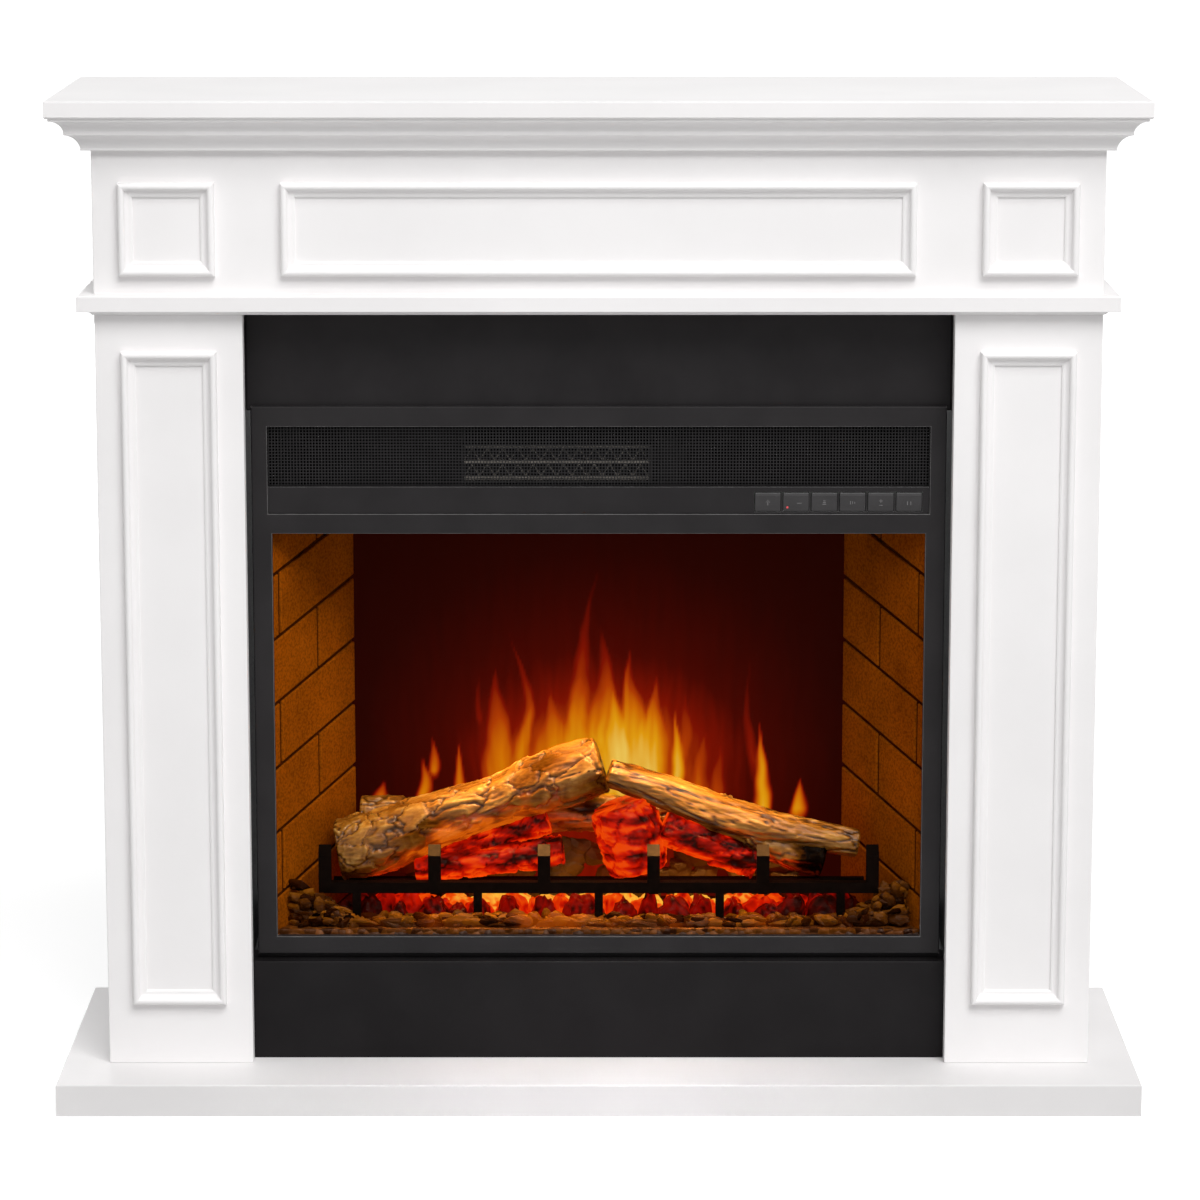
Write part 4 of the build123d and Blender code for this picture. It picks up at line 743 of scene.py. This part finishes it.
def lump(mesh, centre, size, detail, glow, point=0.0, chip=(1, 1, 1)):
    crack_and_top_light, tone, ember = [mesh.verts.layers.float.get(n) or mesh.verts.layers.float.new(n)
                          for n in ("crack_and_top_light", "tone", "ember")]
    seed = Vector((chance.uniform(-50, 50), chance.uniform(-50, 50), chance.uniform(-50, 50)))
    turn = Matrix.Rotation(chance.uniform(0, math.tau), 3, seed.normalized())
    shade = chance.random()
    made = bmesh.ops.create_icosphere(mesh, subdivisions=detail, radius=1)["verts"]
    for vert in made:
        way = turn @ (vert.co * Vector(chip))
        bulge = 1 + 0.42 * noise.noise(way * 1.2 + seed) + 0.22 * noise.noise(way * 2.8 + seed)
        lean = bulge * (1 - point * way.z)
        vert.co = Vector(centre) + Vector((
            way.x * size[0] * lean, way.y * size[1] * lean, way.z * size[2] * bulge))
        # Raising the paint value with way.z paints each lump lighter on its upper side: painted top light.
        vert[crack_and_top_light] = 0.25 + 0.35 * shade + 0.3 * way.z
        vert[tone] = shade
        vert[ember] = glow(vert.co, way) if glow else 0.0


# %% [markdown]
# The coals stand in four rows. They could be lit by many small lamps, but the real ones are clear resin
# that glows from within, so the glow is a value on their points: stronger in the rows behind, weaker
# towards both ends, and broken up by veins.

# %% Coals
bed_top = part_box("ember_bed")[1].z * 1000


def coal_glow(strength, climb):
    def glow(spot, way):
        vein = abs(noise.noise(Vector((spot.x / 7, spot.y / 7, spot.z / 7))))
        return max(0.0, min(1.0, strength + 0.5 * (0.22 - vein) + climb * (spot.z - bed_top - 14)))
    return glow


coals_end = (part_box("coals")[1] * 1000).x
# y of the row, glow, height, number of coals, glow gained per millimetre of height
coal_rows = (
    (-19, 0.34, 16, 19, 0.004), (-3, 0.72, 15, 23, 0.008), (13, 0.97, 11.5, 22, 0.006),
    (30, 0.95, 9.5, 20, -0.01))
ash_count, ash_half, ash_line, ash_tall = 90, 190, 52, 58
mesh = bmesh.new()
for row, (y, hot, tall, count, climb) in enumerate(coal_rows):
    half = coals_end - 4 - 10 * row
    for index in range(count):
        x = -half + (index + chance.uniform(0.15, 0.85)) * 2 * half / count
        middle = math.exp(-(x / 225) ** 4)
        size = [chance.uniform(8.5, 16), chance.uniform(8, 9.5), tall * chance.uniform(0.6, 1.1)]
        centre = (x, y + chance.uniform(-2, 2), bed_top + size[2] * 0.55)
        lump(mesh, centre, size, 3, coal_glow(hot * middle, climb), 0.3)
ash_from = len(mesh.faces)
for _ in range(ash_count):
    x = chance.uniform(-ash_half, ash_half)
    size = [chance.uniform(9, 15), chance.uniform(6, 8), chance.uniform(9, 14)]
    lump(mesh, (x, ash_line, bed_top + chance.uniform(0.1, 1) * ash_tall), size, 2, None)
mesh.faces.ensure_lookup_table()
for face in mesh.faces[ash_from:]:
    face.material_index = 1
ash = coated("ash-dusted resin", "#5A4418", "#7C6228", 22, 2.5, 0.3, 0.6, 0.1, sheen(0.3))
piece("glowing_coals", mesh, [finishes["ember_resin"], ash], ["coals"])

# %% [markdown]
# The stones are flat shards. Most lie in a strip along the glass, and the rest are heaped against the side
# walls. Each is a lump squeezed flat before it is turned, so that no two lie alike.

# %% Stones
def stone_glow(spot, way):
    warm = noise.noise(Vector((spot.x / 30, spot.y / 30, 2.2)))
    return max(0.0, min(0.45, 0.1 + 0.8 * warm + 0.1 * way.y)) * math.exp(-(spot.x / 230) ** 4)


strip_count, corner_count, strip_half, corner_start = 300, 110, 288, 240
strip_front, strip_back = -48, -32
heap_tall, heap_from, heap_slope = 24, 236, 0.74
shard = (1.35, 0.55, 0.95)
mesh = bmesh.new()
for _ in range(strip_count):
    x = chance.uniform(-strip_half, strip_half)
    y = chance.uniform(strip_front, strip_back)
    size = [chance.uniform(6, 13), chance.uniform(3.5, 4.4), chance.uniform(4, 7)]
    edge = max(0.0, (abs(x) - corner_start) / 50)
    lift = chance.uniform(-2, 4) + chance.uniform(0.1, 1) * heap_tall * edge
    lump(mesh, (x, y, bed_top + size[2] * 0.3 + lift), size, 2, stone_glow, 0.0, shard)
for side in (-1, 1):
    for _ in range(corner_count):
        x = side * chance.uniform(corner_start, strip_half)
        y = chance.uniform(strip_front, strip_back)
        size = [chance.uniform(6, 11), chance.uniform(3.5, 4.4), chance.uniform(4.5, 8)]
        lift = chance.uniform(0, 1) * heap_slope * (abs(x) - heap_from)
        lump(mesh, (x, y, bed_top + 2 + lift), size, 2, None, 0.0, shard)
piece("amber_stones", mesh, [finishes["stone_resin"]], ["stones"])

# %% [markdown]
# The tray under the lumps is moulded with the same grit, so where it shows between them it has a pebble
# pattern of its own: Voronoi cells of about seven millimetres, each with its own brown.

# %% Moulded grit
grit, tree, shader = new_material("moulded amber grit")
place = node(tree, "ShaderNodeTexCoord")
cells = node(tree, "ShaderNodeTexVoronoi", {"Vector": place.outputs["Object"], "Scale": per(7)})
tone = node(tree, "ShaderNodeValToRGB", {"Fac": cells.outputs["Color"]}, stops=(
    (0.2, "#3A1A06"), (0.8, "#8A5216")))
bump = node(tree, "ShaderNodeBump", {"Height": cells.outputs["Distance"], "Strength": 1.0, "Distance": 0.003},
            invert=True)
tree.links.new(tone.outputs[0], shader.inputs["Base Color"])
tree.links.new(bump.outputs[0], shader.inputs["Normal"])
shader.inputs["Roughness"].default_value = 0.45
finishes["grit"] = grit

# %% [markdown]
# ## Finishes on the remaining solids
# Every solid that is still shown takes the finish of its slot. A few have one of their own: the hearth
# takes a greyer copy of the white lacquer as painted shade, the bed shows its grit, and the heater parts
# behind the mesh take darker finishes.

# %% Dress the solids
dressed = 0
painted = {"hearth_slab": "shaded_hearth_lacquer", "ember_bed": "grit", "ptc_heater": "fins"}
# Like the fins above, the heater's nozzle, motor and housing take darker finishes than their slots.
painted.update(dict.fromkeys(("heater_nozzle", "blower_motor", "blower_housing"), "dark_steel"))
for name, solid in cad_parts.items():
    for place in solid.material_slots:
        key = painted.get(name, place.material.name.split(".")[0])
        if key in finishes:
            place.material = finishes[key]
            dressed += 1
        else:
            print("no finish for", name, key)
print("dressed", dressed)

# %% [markdown]
# ## Studio
# The picture was taken in even, soft light on white. A large lamp above the camera gives the main light,
# a low one fills the back, the world gives the rest, and the floor and background turn white only where
# the camera looks at them, so that no extra light falls on the object. The floor still takes the object's
# shadow, and it runs to full white far away, so that no horizon shows.

# %% Floor and world
def looked_at(tree):
    rays = node(tree, "ShaderNodeLightPath").outputs
    direct = {0: rays["Is Camera Ray"], 1: rays["Is Glossy Ray"]}
    seen = node(tree, "ShaderNodeMath", direct, operation="MAXIMUM")
    either = {0: seen.outputs[0], 1: rays["Is Transmission Ray"]}
    return node(tree, "ShaderNodeMath", either, operation="MAXIMUM").outputs[0]


floor, tree, shader = new_material("matt white floor")
tree.nodes.remove(shader)
seen = looked_at(tree)
place = node(tree, "ShaderNodeTexCoord")
away = node(tree, "ShaderNodeVectorMath", {0: place.outputs["Object"]}, operation="LENGTH")
level = node(tree, "ShaderNodeMapRange", {
    "Value": away.outputs["Value"], "From Min": 2.0, "From Max": 9.0, "To Min": 0.7, "To Max": 1.0})
lift = node(tree, "ShaderNodeMath", {0: seen, 1: level.outputs[0]}, operation="MULTIPLY")
paint = node(tree, "ShaderNodeBsdfDiffuse", {"Color": (0.54, 0.54, 0.54, 1)})
white = node(tree, "ShaderNodeEmission", {"Color": (1, 1, 1, 1), "Strength": lift.outputs[0]})
both = node(tree, "ShaderNodeAddShader", {0: paint.outputs[0], 1: white.outputs[0]})
tree.links.new(both.outputs[0], tree.nodes["Material Output"].inputs["Surface"])
mesh = bmesh.new()
bmesh.ops.create_grid(mesh, x_segments=1, y_segments=1, size=30)
data = bpy.data.meshes.new("floor")
mesh.to_mesh(data)
mesh.free()
data.materials.append(floor)
ground = bpy.data.objects.new("floor", data)
ground.location.z = -0.0002
bpy.context.scene.collection.objects.link(ground)

world = bpy.data.worlds.new("studio")
bpy.context.scene.world = world
world.use_nodes = True
tree = world.node_tree
level = node(tree, "ShaderNodeMapRange", {"Value": looked_at(tree), "To Min": 0.36, "To Max": 1.0})
tree.links.new(level.outputs[0], tree.nodes["Background"].inputs["Strength"])
tree.nodes["Background"].inputs["Color"].default_value = (1, 1, 1, 1)

# %% [markdown]
# All five lamps are rectangles, because a large face gives a soft shadow. Two stand in the studio and a
# faint one lifts the hearth. The two small warm ones belong to the firebox: one shines down on the logs,
# the other up from the bed.

# %% Lamps
def soft_lamp(name, place, target, size, power, colour="#FFFFFF", spread=180):
    data = bpy.data.lights.new(name, "AREA")
    data.shape = "RECTANGLE"
    data.size, data.size_y = size
    data.energy = power
    data.spread = math.radians(spread)
    data.color = linear(colour)[:3]
    made = bpy.data.objects.new(name, data)
    made.location = place
    made.rotation_euler = (Vector(target) - Vector(place)).to_track_quat("-Z", "Y").to_euler()
    made.visible_camera = False
    bpy.context.scene.collection.objects.link(made)
    print(name, power, "W")


soft_lamp("main lamp", (2.1, -5.6, 7.0), (0, 0, 0.45), (6.0, 5.0), 690)
soft_lamp("back lamp", (-1.5, 5.5, 0.46), (0, 0, 0.46), (5.0, 0.8), 150)
soft_lamp("hearth lamp", (0, -1.2, 2.8), (0, -0.26, 0.0), (0.3, 0.2), 0.25, "#FFFFFF", 12)
soft_lamp("ember downlight", (0, -0.046, 0.53), (0, 0.006, 0.2), (0.36, 0.012), 0.48, "#FFC880", 40)
soft_lamp("ember uplight", (0, -0.005, 0.176), (0, 0.01, 0.3), (0.42, 0.03), 0.22, "#FF4A0C", 120)

# %% [markdown]
# The camera stands well back with a long lens and looks down a little, so that the shelf, the hearth and
# the firebox fall where they do in the picture, with the upright lines as near to parallel as a camera
# without shift gives.

# %% Camera
looks_down = 10.886
optics = bpy.data.cameras.new("camera")
optics.sensor_width = 36.0
optics.lens = 135.09
camera = bpy.data.objects.new("camera", optics)
camera.location = (0.0012, -4.2, 1.266)
camera.rotation_euler = (math.radians(90 - looks_down), 0, 0)
bpy.context.scene.collection.objects.link(camera)
bpy.context.scene.camera = camera
bpy.context.scene.view_settings.view_transform = "Standard"
print("camera", [round(v, 3) for v in camera.location], "lens", optics.lens)
